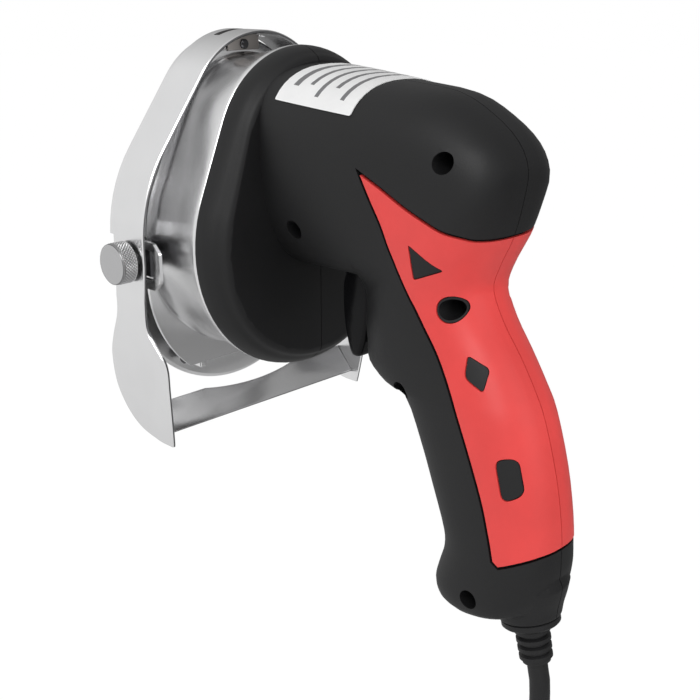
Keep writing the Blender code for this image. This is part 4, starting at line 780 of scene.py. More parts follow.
def new_look(name, colour, roughness, kind, pattern, setting, depth, specular=0.5):
    """A Principled material whose colour, roughness and bump follow a pattern group."""
    made, tree, shader = principled(name, colour, roughness)
    shader.inputs["Metallic"].default_value = kind["metallic"]
    shader.inputs["Specular IOR Level"].default_value = specular
    marks = node(tree, "Group", {0: setting}, node_tree=pattern).outputs
    tint = scaled_vector(tree, tuple(colour), map_range(tree, marks[kind["mark"]], *kind["tones"]))
    tree.links.new(tint, shader.inputs["Base Color"])
    tree.links.new(map_range(tree, marks[kind["mark"]], roughness - kind["spread"],
                             roughness + kind["spread"]), shader.inputs["Roughness"])
    relief = node(tree, "Bump", {"Strength": kind["strength"], "Distance": depth,
                                 "Height": marks["Height"]})
    tree.links.new(relief.outputs[0], shader.inputs["Normal"])
    LOOKS[name] = made


def base_colour(look):
    """A material's tree, its shader's colour input, and the output that feeds it."""
    tree = LOOKS[look].node_tree
    socket = tree.nodes["Principled BSDF"].inputs["Base Color"]
    return tree, socket, socket.links[0].from_socket


def paint_knurl_shade_and_highlight(depth):
    """Painted shade in the knurl's grooves and painted highlight on its crests, by distance from
    the knobs' axis.
    """
    tree, socket, colour = base_colour("knob_steel")
    low = KNOB_R - depth
    away = vector_node(tree, "SUBTRACT", coordinates(tree),
                       Vector((0.0, CLAMP_Y, CLAMP_Z)) + SHIFT)
    reach = vector_node(tree, "LENGTH", vector_node(tree, "MULTIPLY", away, (0.0, 1.0, 1.0)))
    # The knob's side gets painted shade in the grooves and painted highlight on the crests; the end
    # face keeps its colour
    side = map_range(tree, reach, *KNURL_PAINTED_LIGHT, low, KNOB_R)
    end = math_node(tree, "LESS_THAN", reach, low - 0.0001)
    tone = math_node(tree, "MAXIMUM", end, side)
    tree.links.new(scaled_vector(tree, colour, tone), socket)


def draw_rules():
    """Draw plain grey rules on the white film, none of them writing."""
    tree, socket, colour = base_colour("plate_white")
    split = node(tree, "SeparateXYZ", {0: coordinates(tree)}).outputs
    rules = None
    for y, reach in LABEL_RULES:
        near = math_node(tree, "COMPARE", split["Y"], y + SHIFT.y, LABEL_RULE_HALF[bool(rules)])
        inside = math_node(tree, "COMPARE", split["X"], LABEL_RULES_X, reach)
        bar = math_node(tree, "MULTIPLY", near, inside)
        rules = math_node(tree, "MAXIMUM", rules, bar) if rules else bar
    mix = node(tree, "Mix", {"Factor": rules, 6: colour, 7: LABEL_RULE_GREY}, data_type="RGBA")
    tree.links.new(mix.outputs[2], socket)


def build_looks(colours, knurl_depth):
    """All materials of the object."""
    grain, rolled, rings = grain_group(), rolled_group(), ring_group()
    for name, colour, roughness, scale, depth, specular in (
            ("casing_black", colours.casing, 0.50, 1500.0, 0.00010, 0.30),
            ("grip_red", colours.grip, 0.40, 2100.0, 0.00004, 0.5),
            ("cord_rubber", colours.cord, 0.46, 1800.0, 0.00004, 0.30),
            ("tie_plastic", (0.02, 0.02, 0.022), 0.35, 900.0, 0.00003, 0.5),
            ("trigger_gloss", (0.004, 0.004, 0.0045), 0.15, 500.0, 0.00001, 0.12),
            ("inner_plastic", (0.05, 0.05, 0.055), 0.45, 1200.0, 0.00004, 0.5),
            ("brush_carbon", (0.02, 0.02, 0.02), 0.7, 2600.0, 0.00005, 0.5),
            ("plate_white", colours.plate, 0.42, 900.0, 0.00002, 0.5)):
        new_look(name, colour, roughness, PLASTIC, grain, scale, depth, specular)
    draw_rules()
    for name, colour, roughness, along, depth in (
            ("polished_metal", colours.metal, 0.24, (60.0, 1600.0, 60.0), 0.000006),
            ("sheet_steel", colours.metal, 0.22, (160.0, 1800.0, 60.0), 0.000008),
            ("cast_alloy", (0.44, 0.41, 0.39), 0.42, (900.0, 900.0, 900.0), 0.00004),
            # Cut edge: the duller sheared steel, darkened further as painted shade along the
            # sheet's edges
            ("cut_edge_and_painted_shade", (0.22, 0.22, 0.225), 0.50, (90.0, 90.0, 90.0), 0.00003),
            ("core_iron", (0.28, 0.28, 0.29), 0.45, (60.0, 4200.0, 60.0), 0.00005),
            ("winding_copper", (0.70, 0.30, 0.15), 0.35, (300.0, 3000.0, 300.0), 0.00010),
            ("knob_steel", (0.50, 0.50, 0.505), 0.25, (900.0, 900.0, 900.0), 0.00002)):
        new_look(name, colour, roughness, METAL, rolled, along, depth)
    # Painted shade and painted highlight on the knobs' knurl
    paint_knurl_shade_and_highlight(knurl_depth)
    for name, colour, roughness in (("blade_steel", (0.88, 0.88, 0.885), 0.34),
                                    ("turned_steel", (0.62, 0.62, 0.63), 0.24),
                                    ("gear_steel", (0.42, 0.42, 0.43), 0.32),
                                    ("dark_steel", (0.09, 0.09, 0.095), 0.38)):
        new_look(name, colour, roughness, METAL, rings, tuple(SHIFT), 0.00002)


# Properties

def length_setting(name, description, default, low, high):
    """A length that the user can change."""
    return FloatProperty(name=name, description=description, default=default, min=low, max=high,
                         subtype="DISTANCE", unit="LENGTH")


def colour_setting(name, description, default):
    """A colour that the user can change."""
    return FloatVectorProperty(name=name, description=description, default=default,
                               subtype="COLOR", min=0.0, max=1.0)


class SlicerSizes(bpy.types.PropertyGroup):
    """Sizes of the fine surface that a user would change."""
    blade_radius: length_setting("Blade radius", "Outer radius of the round blade",
                                 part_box("blade")[1].x, 0.02, 0.1)
    knurl_count: IntProperty(
        name="Knurl count", description="Diamonds round each clamp knob", default=40, min=8, max=80)
    knurl_depth: length_setting("Knurl depth", "Depth of the knob's diamonds", 0.00040, 0.0, 0.001)
    cord_radius: length_setting("Cord radius", "Half the mains cord's thickness",
                                CORD_R, 0.002, 0.006)
    rib_count: IntProperty(
        name="Relief ribs", description="Ribs along the strain relief", default=4, min=2, max=8)
    thread_pitch: length_setting("Thread pitch", "Pitch of the clamp studs' thread",
                                 0.0007, 0.0003, 0.002)


class SlicerColours(bpy.types.PropertyGroup):
    """Colours of the main surfaces."""
    casing: colour_setting("Casing", "Colour of the moulded casing", (0.0085, 0.0085, 0.0090))
    grip: colour_setting("Grip cover", "Colour of the soft grip cover", (0.70, 0.050, 0.046))
    plate: colour_setting("Plate", "Colour of the blank plate on the barrel", (0.84, 0.84, 0.84))
    metal: colour_setting("Metal", "Colour of the polished metal", (0.78, 0.78, 0.785))
    cord: colour_setting("Cord", "Colour of the mains cord", (0.010, 0.010, 0.0105))
    floor: colour_setting("Floor", "Colour of the floor", (0.86, 0.86, 0.86))


# Casing

def casing_shell():
    """Outer form with the flange and the neck, hollow, and cut for what sits in it."""
    shell = draft("casing_shell", casing_form())
    carve(shell, egg_skin(catmull(FLANGE_ROWS, 3)), "UNION")
    neck = [(NECK_ROOT, 0), (NECK_ROOT, 0.0125)] + catmull(NECK_ROWS, 3) + [(-GAP, 0)]
    carve(shell, turned(neck, RELIEF_AXIS, 64, RELIEF_START), "UNION")
    cavity = draft("cavity", casing_form(CASING_WALL, 8, 1, CASING_ROWS[:-2:2], CAVITY_FRONT_Y))
    for y, z in SCREW_PLACES.values():
        carve(cavity, rod(-0.04, 0.04, SCREW_BOSS_R, X_AXIS, 32, (0, y, z)))
    carve(shell, cavity)
    carve(shell, egg_skin(FLANGE_RECESS))
    mouth = rounded(TRIGGER_MOUTH, 0.0006, 2)
    carve(shell, prism(mouth, -TRIGGER_HALF - GAP, TRIGGER_HALF + GAP))
    carve(shell, rod(RELIEF_ROOT - 0.001, 0.004, RELIEF_ROOT_R + GAP, RELIEF_AXIS, 48,
                     RELIEF_START))
    bed = draft("bed", prism(grown(cover_outline(), COVER_GROOVE), -0.04, 0.04))
    carve(bed, casing_form(COVER_T + GAP))
    for window in pad_outlines():
        carve(bed, prism(grown(window, -GAP), -0.045, 0.045))
    carve(shell, bed)
    low, high = SCREW_HOLE_X
    hole = [(low, 0), (low, SCREW_SHANK_R + GAP), (SCREW_SEAT_X, SCREW_SHANK_R + GAP),
            (SCREW_SEAT_X, SCREW_HOLE_R), (high, SCREW_HOLE_R), (high, 0)]
    for place in SCREW_PLACES.values():
        carve(shell, turned(hole, X_AXIS, 40, (0, *place)))
    return shell


class SLICER_OT_casing(bpy.types.Operator):
    """Build both halves of the moulded casing"""
    bl_idname = "slicer.casing"
    bl_label = "Casing"

    def execute(self, context):
        shell = casing_shell()
        for side, sign in SIDES:
            low, high = span(sign, GAP / 2, 0.08)
            half = draft("casing_" + side, block((low, 0.03, -0.14), (high, 0.20, 0.11)))
            weld(carve(half, shell, "INTERSECT", keep_tool=True))
            finish_piece(half, "casing_black", "casing", "housing_" + side, 38.0, weighted=True)
        bpy.data.objects.remove(shell)
        return {"FINISHED"}


class SLICER_OT_covers(bpy.types.Operator):
    """Build the red grip covers and the blank plate on the barrel"""
    bl_idname = "slicer.covers"
    bl_label = "Grip covers and plate"

    def execute(self, context):
        skin = draft("cover_skin", casing_form(-COVER_PROUD))
        core = draft("cover_core", casing_form(COVER_T))
        for side, sign in SIDES:
            cover = draft("cover_" + side, prism(cover_outline(), *span(sign, GAP / 2, 0.05)))
            carve(cover, skin, "INTERSECT", keep_tool=True)
            carve(cover, core, keep_tool=True)
            for window in pad_outlines():
                carve(cover, prism(window, -0.05, 0.05))
            finish_piece(cover, "grip_red", "casing", "grip_cover_" + side, 38.0, weighted=True)
        for tool in (skin, core):
            bpy.data.objects.remove(tool)
        outline = [*zip(LABEL_Y, LABEL_LOW_Z), (LABEL_Y[1], LABEL_TOP_Z), (LABEL_Y[0], LABEL_TOP_Z)]
        label = draft("label_film", prism(rounded(outline, 0.0006, 3), -0.0200, 0.0400))
        carve(label, casing_form(-LABEL_FILM[1]), "INTERSECT")
        carve(label, casing_form(-LABEL_FILM[0]))
        finish_piece(label, "plate_white", "casing", "rating_plate", 38.0, weighted=True)
        return {"FINISHED"}


class SLICER_OT_casing_screws(bpy.types.Operator):
    """Build the casing screws with their cross recesses"""
    bl_idname = "slicer.casing_screws"
    bl_label = "Casing screws"

    def execute(self, context):
        head = SCREW_HOLE_R - GAP
        seat = SCREW_SEAT_X + GAP
        top = SCREW_HEAD_X
        profile = [(SCREW_TIP_X, 0), (SCREW_TIP_X, SCREW_SHANK_R - 0.0005),
                   (SCREW_TIP_X + 0.0010, SCREW_SHANK_R),
                   (seat, SCREW_SHANK_R), (seat, head), (top - 0.0010, head)]
        profile += catmull([(top - 0.0007, head * 0.97), (top - 0.0002, head * 0.75),
                            (top, head * 0.4)], 2) + [(top, 0)]
        for name, (y, z) in SCREW_PLACES.items():
            screw = draft("screw_" + name, turned(profile, X_AXIS, 40, (0, y, z)))
            for wide, tall in SCREW_CROSS:
                carve(screw, block((top - 0.0014, y - wide, z - tall),
                                   (top + 0.001, y + wide, z + tall)))
            finish_piece(screw, "dark_steel", "casing", "housing_screw_" + name)
        return {"FINISHED"}


# Head

class SLICER_OT_gear_housing(bpy.types.Operator):
    """Build the polished bell round the gears"""
    bl_idname = "slicer.gear_housing"
    bl_label = "Gear housing"

    def execute(self, context):
        bell = draft("bell", egg_skin(catmull(BELL_ROWS, 4)))
        rows = catmull(BELL_ROOM_ROWS, 2) + [(BELL_BACK_Y + 0.002, 0.0464, 0.0353)]
        room = draft("bell_room", egg_skin(rows))
        front = BELL_FRONT_Y
        end = BEARING_BOSS_END
        carve(room, turned([(front + 0.001, 0.002), (front + 0.001, BEARING_BOSS_R),
                            (end, BEARING_BOSS_R), (end, 0.002)], closed=True))
        carve(bell, room)
        carve(bell, turned([(front - 0.002, 0), (front - 0.002, SPINDLE_HOLE_R),
                            (front + BEARING_LIP, SPINDLE_HOLE_R),
                            (front + BEARING_LIP, BEARING_SEAT_R),
                            (end + 0.002, BEARING_SEAT_R), (end + 0.002, 0)]))
        finish_piece(bell, "polished_metal", "casing", "gear_housing", 30.0)
        return {"FINISHED"}


def guard_ring(inset, y):
    """One ring of the guard dish at an inset from its rim."""
    return egg(y, GUARD_R - inset, GUARD_TOP_R - inset, STRAP_LOW_Z, STRAP_HIGH_Z)


def guard_rows(depth=0.0):
    """Inset and y along the dish's rounded edge, at a depth inside its outer face."""
    steps = 8
    rows = []
    for step in range(steps + 1):
        angle = math.pi / 2 * step / steps
        rows.append((GUARD_FILLET * (1 - math.cos(angle)) + depth * math.cos(angle),
                     GUARD_BACK_Y - GUARD_FILLET * (1 - math.sin(angle)) - depth * math.sin(angle)))
    return rows


class SLICER_OT_guard(bpy.types.Operator):
    """Build the stamped guard with its tabs, tie rod, crest block and screw"""
    bl_idname = "slicer.guard"
    bl_label = "Guard"

    def execute(self, context):
        outer = [(0.0, GUARD_LIP_Y)] + guard_rows()
        inner = [(GUARD_SHEET, GUARD_LIP_Y - 0.002)] + guard_rows(GUARD_SHEET)
        guard = draft("guard", egg_skin(outer, guard_ring))
        carve(guard, egg_skin(inner, guard_ring))
        carve(guard, block((-0.08, -0.02, -0.08), (0.08, 0.04, GUARD_STEP_Z)))
        carve(guard, self.plate(), "UNION")
        for _, sign in SIDES:
            self.side(guard, sign)
        carve(guard, rod(-0.01, 0.03, SPINDLE_R + 0.0015))
        rod_place = (0, TIE_ROD_Y, TIE_ROD_Z)
        carve(guard, rod(-0.04, 0.04, TIE_ROD_R + GAP, X_AXIS, 32, rod_place))
        finish_piece(guard, "sheet_steel", "casing", "guard_dish", weighted=True)
        end = TIE_ROD_HALF
        profile = [(-end, 0), (-end, TIE_ROD_R - 0.0005), (-end + 0.0005, TIE_ROD_R),
                   (end - 0.0005, TIE_ROD_R), (end, TIE_ROD_R - 0.0005), (end, 0)]
        # The tie rod's dark steel stands partly for the shade it lies in beneath the bell: painted
        # shade
        bar = draft("tie_bar", turned(profile, X_AXIS, 40, rod_place))
        finish_piece(bar, "dark_steel", "casing", "tie_rod")
        self.crest()
        return {"FINISHED"}

    def plate(self):
        """Flat lower plate behind the blade: a disc with its top and its foot cut straight."""
        first = math.acos(GUARD_STEP_Z / GUARD_PLATE_R)
        last = math.acos(GUARD_FLAT_Z / GUARD_PLATE_R)
        arc = []
        for step in range(41):
            angle = first + (last - first) * step / 40
            arc.append((GUARD_PLATE_R * math.sin(angle), GUARD_PLATE_R * math.cos(angle)))
        outline = arc + [(-x, z) for x, z in reversed(arc)]
        reach = arc[0][0] * 0.9
        outline += [(-reach, GUARD_STEP_Z + 0.004), (reach, GUARD_STEP_Z + 0.004)]
        return extruded([(x, GUARD_BACK_Y - GUARD_SHEET, z) for x, z in outline],
                        (0, GUARD_SHEET, 0))

    def side(self, guard, sign):
        """Tab with its slot, and the tie rod's lug, on one side."""
        end, top, soft = TAB_END_Y, GUARD_STEP_Z, TAB_CORNER
        corners = [(0.0074, TAB_TOP_Z), (0.0074, 0.0020), (0.0094, 0.0), (end - soft, 0.0),
                   (end, soft), (end, top - soft), (end - soft, top), (0.0125, top),
                   (0.0105, TAB_TOP_Z)]
        tab = prism(rounded(corners, 0.0008, 3), *span(sign, TAB_X - GUARD_SHEET, TAB_X))
        carve(guard, tab, "UNION")
        x, half = sign * TIE_LUG_X, TIE_LUG_HALF
        lug = block((x - TIE_LUG_HALF_T, TIE_ROD_Y - half, TIE_ROD_Z - half),
                    (x + TIE_LUG_HALF_T, GUARD_BACK_Y - 0.0006, TIE_ROD_Z + half), 0.0007)
        carve(guard, lug, "UNION")
        low, high = span(sign, 0.045, 0.07)
        carve(guard, block((low, CLAMP_Y - STUD_R - GAP, SLOT_LOW_Z),
                           (high, CLAMP_Y + GUIDE_TRAVEL + STUD_R + GAP, SLOT_TOP_Z), 0.0005))

    def crest(self):
        """Saddle under the hoop's crest, and its screw."""
        back = GUARD_BACK_Y + 0.0006
        place = (0, 0, CREST_SCREW_Z)
        low, high = CREST_BLOCK_Z
        saddle = draft("crest_saddle", block((-CREST_BLOCK_HALF, CREST_BLOCK_FRONT_Y, low),
                                             (CREST_BLOCK_HALF, back, high), 0.0003, 2))
        carve(saddle, rod(-0.01, 0.03, STRAP_TOP_R - STRAP_T - GAP, steps=160,
                          base=(0, 0, STRAP_HIGH_Z)), "INTERSECT")
        rows = [(-GAP, 0.0)] + [(inset - GAP, y + GAP) for inset, y in guard_rows()]
        carve(saddle, egg_skin(rows, guard_ring))
        carve(saddle, rod(back - 0.003, back + 0.001, 0.0011, base=place))
        finish_piece(saddle, "cast_alloy", "casing", "crest_block")
        head, shank = CREST_SCREW_HEAD_R, CREST_SCREW_SHANK_R
        profile = [(back - 0.0010, 0), (back - 0.0010, shank), (back + 0.0001, shank),
                   (back + 0.0001, head), (back + 0.0006, head), (back + 0.0011, head - 0.0005),
                   (back + 0.0011, 0)]
        screw = draft("crest_pan_screw", turned(profile, steps=40, base=place))
        carve(screw, block((-0.002, back + 0.0007, CREST_SCREW_Z - 0.00025),
                           (0.002, back + 0.002, CREST_SCREW_Z + 0.00025)))
        finish_piece(screw, "dark_steel", "casing", "crest_screw")


def leaf_x(z):
    """Outer x of the leaning leaf at a height."""
    return STRAP_R - math.tan(LEAF_LEAN) * (LEAF_BEND_Z - z)


def leaf_rows():
    """Sections of the hoop's left half from the leaf's foot up to the crest."""
    front = catmull(LEAF_FRONT, 8)
    back = catmull(LEAF_BACK, 8)

    def row(x, z, angle):
        return x, z, angle, read_curve(front, z / MM) * MM, read_curve(back, z / MM) * MM
    rows = []
    for step in range(LEAF_SECTIONS + 1):
        z = LEAF_FOOT_Z + (LEAF_BEND_Z - LEAF_FOOT_Z) * (step / LEAF_SECTIONS) ** 1.6
        rows.append(row(leaf_x(z), z, LEAF_LEAN * (1.0 if step < LEAF_SECTIONS else 0.5)))
    rows += [row(STRAP_R, z, 0.0) for z in (0.0, 0.0045, 0.0087, 0.0120)]
    lean = math.asin((STRAP_R - STRAP_TOP_R) / (STRAP_HIGH_Z - STRAP_LOW_Z))
    for radius, centre, first, last, steps in ((STRAP_R, STRAP_LOW_Z, 0.0, lean, 16),
                                               (STRAP_TOP_R, STRAP_HIGH_Z, lean, math.pi / 2, 30)):
        for step in range(steps + 1):
            angle = first + (last - first) * step / steps
            rows.append((radius * math.cos(angle), centre + radius * math.sin(angle), angle,
                         STRAP_FRONT_Y, STRAP_BACK_Y))
    return rows


def sheet_ring(row, sign):
    """A section of the strip with rounded edges; the angle is that of its outward normal."""
    x, z, angle, front, back = row
    tilt = -1 if z <= LEAF_BEND_Z else 1
    normal = Vector((math.cos(angle), tilt * math.sin(angle)))
    soft = 0.00035
    middle = (front + back) / 2
    ring = []
    for y, depth in ((front + soft, 0.0), (middle, 0.0), (back - soft, 0.0), (back, soft),
                     (back, STRAP_T - soft), (back - soft, STRAP_T), (middle, STRAP_T),
                     (front + soft, STRAP_T), (front, STRAP_T - soft), (front, soft)):
        point = Vector((x, z)) - normal * depth
        ring.append((sign * point.x, y, point.y))
    return ring


class SLICER_OT_slice_guide(bpy.types.Operator):
    """Build the hoop with its leaves, and the cross plate"""
    bl_idname = "slicer.slice_guide"
    bl_label = "Slice guide"

    def execute(self, context):
        rows = leaf_rows()
        rings = [sheet_ring(row, 1) for row in rows]
        rings += [sheet_ring(row, -1) for row in reversed(rows[:-1])]
        hoop = draft("slice_hoop", loft(rings))
        carve(hoop, rod(-0.07, 0.07, STUD_R + GAP, X_AXIS, 40, (0, CLAMP_Y, CLAMP_Z)))
        carve(hoop, block(*HOOP_SLOT, 0.0006))
        finish_piece(hoop, "sheet_steel", "slice_guide", "guide_hoop", 40.0)
        dull_edges_and_paint_shade(hoop, lambda face: Vector((face.normal.x, 0, face.normal.z)).normalized())
        self.plate()
        return {"FINISHED"}

    def plate(self):
        """Tilted plate between the leaves, with a shallow arc in its upper edge."""
        top = Vector(PLATE_TOP)
        low = Vector(PLATE_LOW)
        slope = (low - top).normalized()
        normal = Vector((-slope.y, slope.x))
        wide, narrow = (leaf_x(z) - STRAP_T - 0.0001 for z in (top.y, low.y))
        arc_r = (PLATE_ARC_HALF ** 2 + PLATE_ARC_DEPTH ** 2) / (2 * PLATE_ARC_DEPTH)
        half_angle = math.asin(PLATE_ARC_HALF / arc_r)
        edge = [(wide, 0.0), (PLATE_ARC_HALF, 0.0)]
        for step in range(1, 40):
            angle = half_angle * (1 - step / 20)
            edge.append((arc_r * math.sin(angle),
                         arc_r * math.cos(angle) - arc_r * math.cos(half_angle)))
        run = (low - top).length
        edge += [(-PLATE_ARC_HALF, 0.0), (-wide, 0.0), (-narrow, run), (narrow, run)]
        bm = extruded([(x, top.x + slope.x * run, top.y + slope.y * run) for x, run in edge],
                      (0, -normal.x * STRAP_T, -normal.y * STRAP_T))
        round_edges(bm, 0.0003)
        plate = draft("cross_plate", bm)
        finish_piece(plate, "sheet_steel", "slice_guide", "guide_plate")
        dull_edges_and_paint_shade(plate, lambda face: Vector((0, normal.x, normal.y)))


def press(bm, factor):
    """Scale a clamp piece's surface about the clamp axis, by a factor of x, radius and angle."""
    for vert in bm.verts:
        y, z = vert.co.y - CLAMP_Y, vert.co.z - CLAMP_Z
        scale = factor(abs(vert.co.x), math.hypot(y, z), math.atan2(z, y))
        vert.co.y = CLAMP_Y + y * scale
        vert.co.z = CLAMP_Z + z * scale


class SLICER_OT_clamps(bpy.types.Operator):
    """Build the knurled knobs, threaded studs and clamp nuts"""
    bl_idname = "slicer.clamps"
    bl_label = "Clamps"

    def execute(self, context):
        sizes = context.scene.slicer_sizes
        base = (0, CLAMP_Y, CLAMP_Z)
        for side, sign in SIDES:
            axis = (sign, 0, 0)
            self.knob(side, axis, base, sizes)
            self.stud(side, axis, base, sizes.thread_pitch)
            outer = TAB_X - GUARD_SHEET - GAP
            low, high = span(sign, outer - NUT_T, outer)
            nut = draft("square_nut_" + side,
                        block((low, CLAMP_Y - NUT_HALF, CLAMP_Z - NUT_HALF),
                              (high, CLAMP_Y + NUT_HALF, CLAMP_Z + NUT_HALF), 0.0004))
            carve(nut, rod(0.04, 0.06, STUD_R + 0.0001, axis, 40, base))
            finish_piece(nut, "dark_steel", "slice_guide", "clamp_nut_" + side)
        return {"FINISHED"}

    def knob(self, side, axis, base, sizes):
        """Round knob with a diamond pattern pressed into its rim."""
        start, end, bore = KNOB_END_X - KNOB_W, KNOB_END_X, STUD_R + GAP
        profile = [(KNOB_BORE_END_X, 0), (KNOB_BORE_END_X, bore), (STRAP_R + GAP, bore),
                   (STRAP_R + GAP, KNOB_NECK_R), (start, KNOB_NECK_R), (start, KNOB_R - 0.0005)]
        profile += [(start + 0.0006 + (KNOB_W - 0.0018) * a / 34, KNOB_R) for a in range(35)]
        profile += [(end - 0.0009, KNOB_R - 0.0002), (end - 0.0003, KNOB_R - 0.0003),
                    (end, KNOB_R - 0.0007), (end, KNOB_R - 0.0012), (end, 0)]
        bm = turned(profile, axis, sizes.knurl_count * 8, base)
        pitch = 2 * math.pi * KNOB_R / sizes.knurl_count

        def diamonds(x, reach, angle):
            if reach < KNOB_R - 0.00005 or not start + 0.0007 < x < end - 0.0012:
                return 1.0
            around = angle * sizes.knurl_count / (2 * math.pi)
            one = abs((around + x / pitch) % 1.0 - 0.5) * 2
            two = abs((around - x / pitch) % 1.0 - 0.5) * 2
            return (reach - sizes.knurl_depth * max(1 - one, 1 - two) ** 1.5) / reach
        press(bm, diamonds)
        finish_piece(draft("knurled_knob_" + side, bm), "knob_steel", "knob_" + side,
                     "knob_" + side, 50.0)

    def stud(self, side, axis, base, pitch):
        """Stud with a thread pressed into it."""
        reach = STUD_END_X - STUD_START_X
        rings = [(STUD_START_X + reach * a / STUD_RINGS, STUD_R) for a in range(STUD_RINGS + 1)]
        bm = turned([(STUD_START_X, 0)] + rings + [(STUD_END_X, 0)], axis, 24, base)

        def thread(x, reach, angle):
            if reach <= STUD_R * 0.9:
                return 1.0
            phase = (x / pitch + angle / (2 * math.pi)) % 1.0
            return 1.0 - THREAD_SHARE * abs(2 * phase - 1)
        press(bm, thread)
        finish_piece(draft("threaded_stud_" + side, bm), "turned_steel", "knob_" + side,
                     "knob_stud_" + side, 50.0)


class SLICER_OT_blade(bpy.types.Operator):
    """Build the round blade, its spindle, washer and nut"""
    bl_idname = "slicer.blade"
    bl_label = "Blade"

    def execute(self, context):
        radius = context.scene.slicer_sizes.blade_radius
        half = BLADE_T / 2
        bore = SPINDLE_TIP_R + GAP
        edge = radius - BLADE_BEVEL
        hub_face = -half - BLADE_HUB_RISE
        hub_face_r = BLADE_WASHER_R + 0.0005
        rings = [(hub_face, bore), (hub_face, hub_face_r - 0.0001), (hub_face + 0.0001, hub_face_r),
                 (-half, hub_face_r), (-half, 0.02), (-half, 0.035), (-half, edge),
                 (-0.00005, radius), (0.00005, radius), (half, edge), (half, 0.035), (half, 0.02),
                 (half, bore)]
        blade = draft("round_blade", turned(rings, steps=BLADE_STEPS, closed=True))
        finish_piece(blade, "blade_steel", "blade_unit", "blade", 12.0)
        hub = half + GAP
        tip = SPINDLE_TIP_Y
        shaft = [(tip, 0), (tip, SPINDLE_TIP_R - 0.0006), (tip + 0.0006, SPINDLE_TIP_R),
                 (hub, SPINDLE_TIP_R), (hub, HUB_R), (hub + HUB_W, HUB_R),
                 (hub + HUB_W, SPINDLE_R), (SPINDLE_STEP_Y, SPINDLE_R),
                 (SPINDLE_STEP_Y, SPINDLE_END_R), (SPINDLE_END_Y, SPINDLE_END_R),
                 (SPINDLE_END_Y, 0)]
        spindle = draft("turned_spindle", turned(shaft))
        finish_piece(spindle, "turned_steel", "blade_unit", "spindle")
        front = hub_face - GAP
        washer = draft("dished_washer", turned(
            [(front - 0.0011, bore), (front - 0.0014, 0.0060), (front - 0.0011, 0.0090),
             (front - 0.0006, BLADE_WASHER_R), (front, BLADE_WASHER_R), (front, bore)],
            closed=True))
        finish_piece(washer, "turned_steel", "blade_unit", "blade_washer")
        start = front - GAP - 0.0014
        nut = draft("hex_nut", rod(start - BLADE_NUT_H, start, BLADE_NUT_R, steps=6))
        chamfer = turned([(start - 0.0046, 0), (start - 0.0046, 0.0056), (start - 0.0036, 0.0069),
                          (start + 0.0001, 0.0069), (start + 0.0001, 0)])
        carve(nut, chamfer, "INTERSECT")
        carve(nut, rod(start - 0.006, start + 0.001, bore))
        finish_piece(nut, "turned_steel", "blade_unit", "blade_nut", 25.0)
        return {"FINISHED"}


# Trigger

class SLICER_OT_trigger(bpy.types.Operator):
    """Build the glossy trigger"""
    bl_idname = "slicer.trigger"
    bl_label = "Trigger"

    def execute(self, context):
        outline = [(y * MM, z * MM) for y, z in catmull(TRIGGER_OUTLINE, 3, closed=True)]
        bm = prism(outline, -TRIGGER_HALF, TRIGGER_HALF)
        round_edges(bm, 0.0016, 5)
        trigger = draft("trigger_paddle", bm)
        carve(trigger, rod(-0.02, 0.02, 0.0016, X_AXIS, 32, (0, *TRIGGER_PIVOT)))
        finish_piece(trigger, "trigger_gloss", "trigger", "trigger", 40.0)
        return {"FINISHED"}


# Cord

def coil_route():
    """One unbroken route: spiral in, cross over, spiral out."""
    y0, z0 = COIL_CENTRE
    shallow = COIL_MEAN_R - COIL_PITCH * COIL_TURNS / 2
    points = []
    for step in range(2 * COIL_TURNS * COIL_POINTS + 1):
        turn = step / COIL_POINTS
        away = turn - COIL_TURNS
        radius = shallow + COIL_PITCH * abs(away)
        climb = max(-1.0, min(1.0, away / 0.25))
        angle = -2 * math.pi * turn
        points.append(Vector((COIL_PITCH / 2 * math.sin(climb * math.pi / 2),
                              y0 + radius * math.cos(angle), z0 + radius * math.sin(angle))))
    return points



def lead_route(coil_start):
    """Free lead from the strain relief down to the coil."""
    first = RELIEF_START + RELIEF_AXIS * (RELIEF_LENGTH + GAP)
    last = coil_start + Vector((0, 0, GAP))
    straight = 2 * CORD_R
    bend = [first + RELIEF_AXIS * straight, first + Vector((0, 0.0022, -0.0180)),
            first + Vector((-0.0010, 0.0010, -0.0450)), last + Vector((0, 0.0004, 0.0220)),
            last + Vector((0, 0, straight))]
    return [first] + even_route(bend, 0.005) + [last]


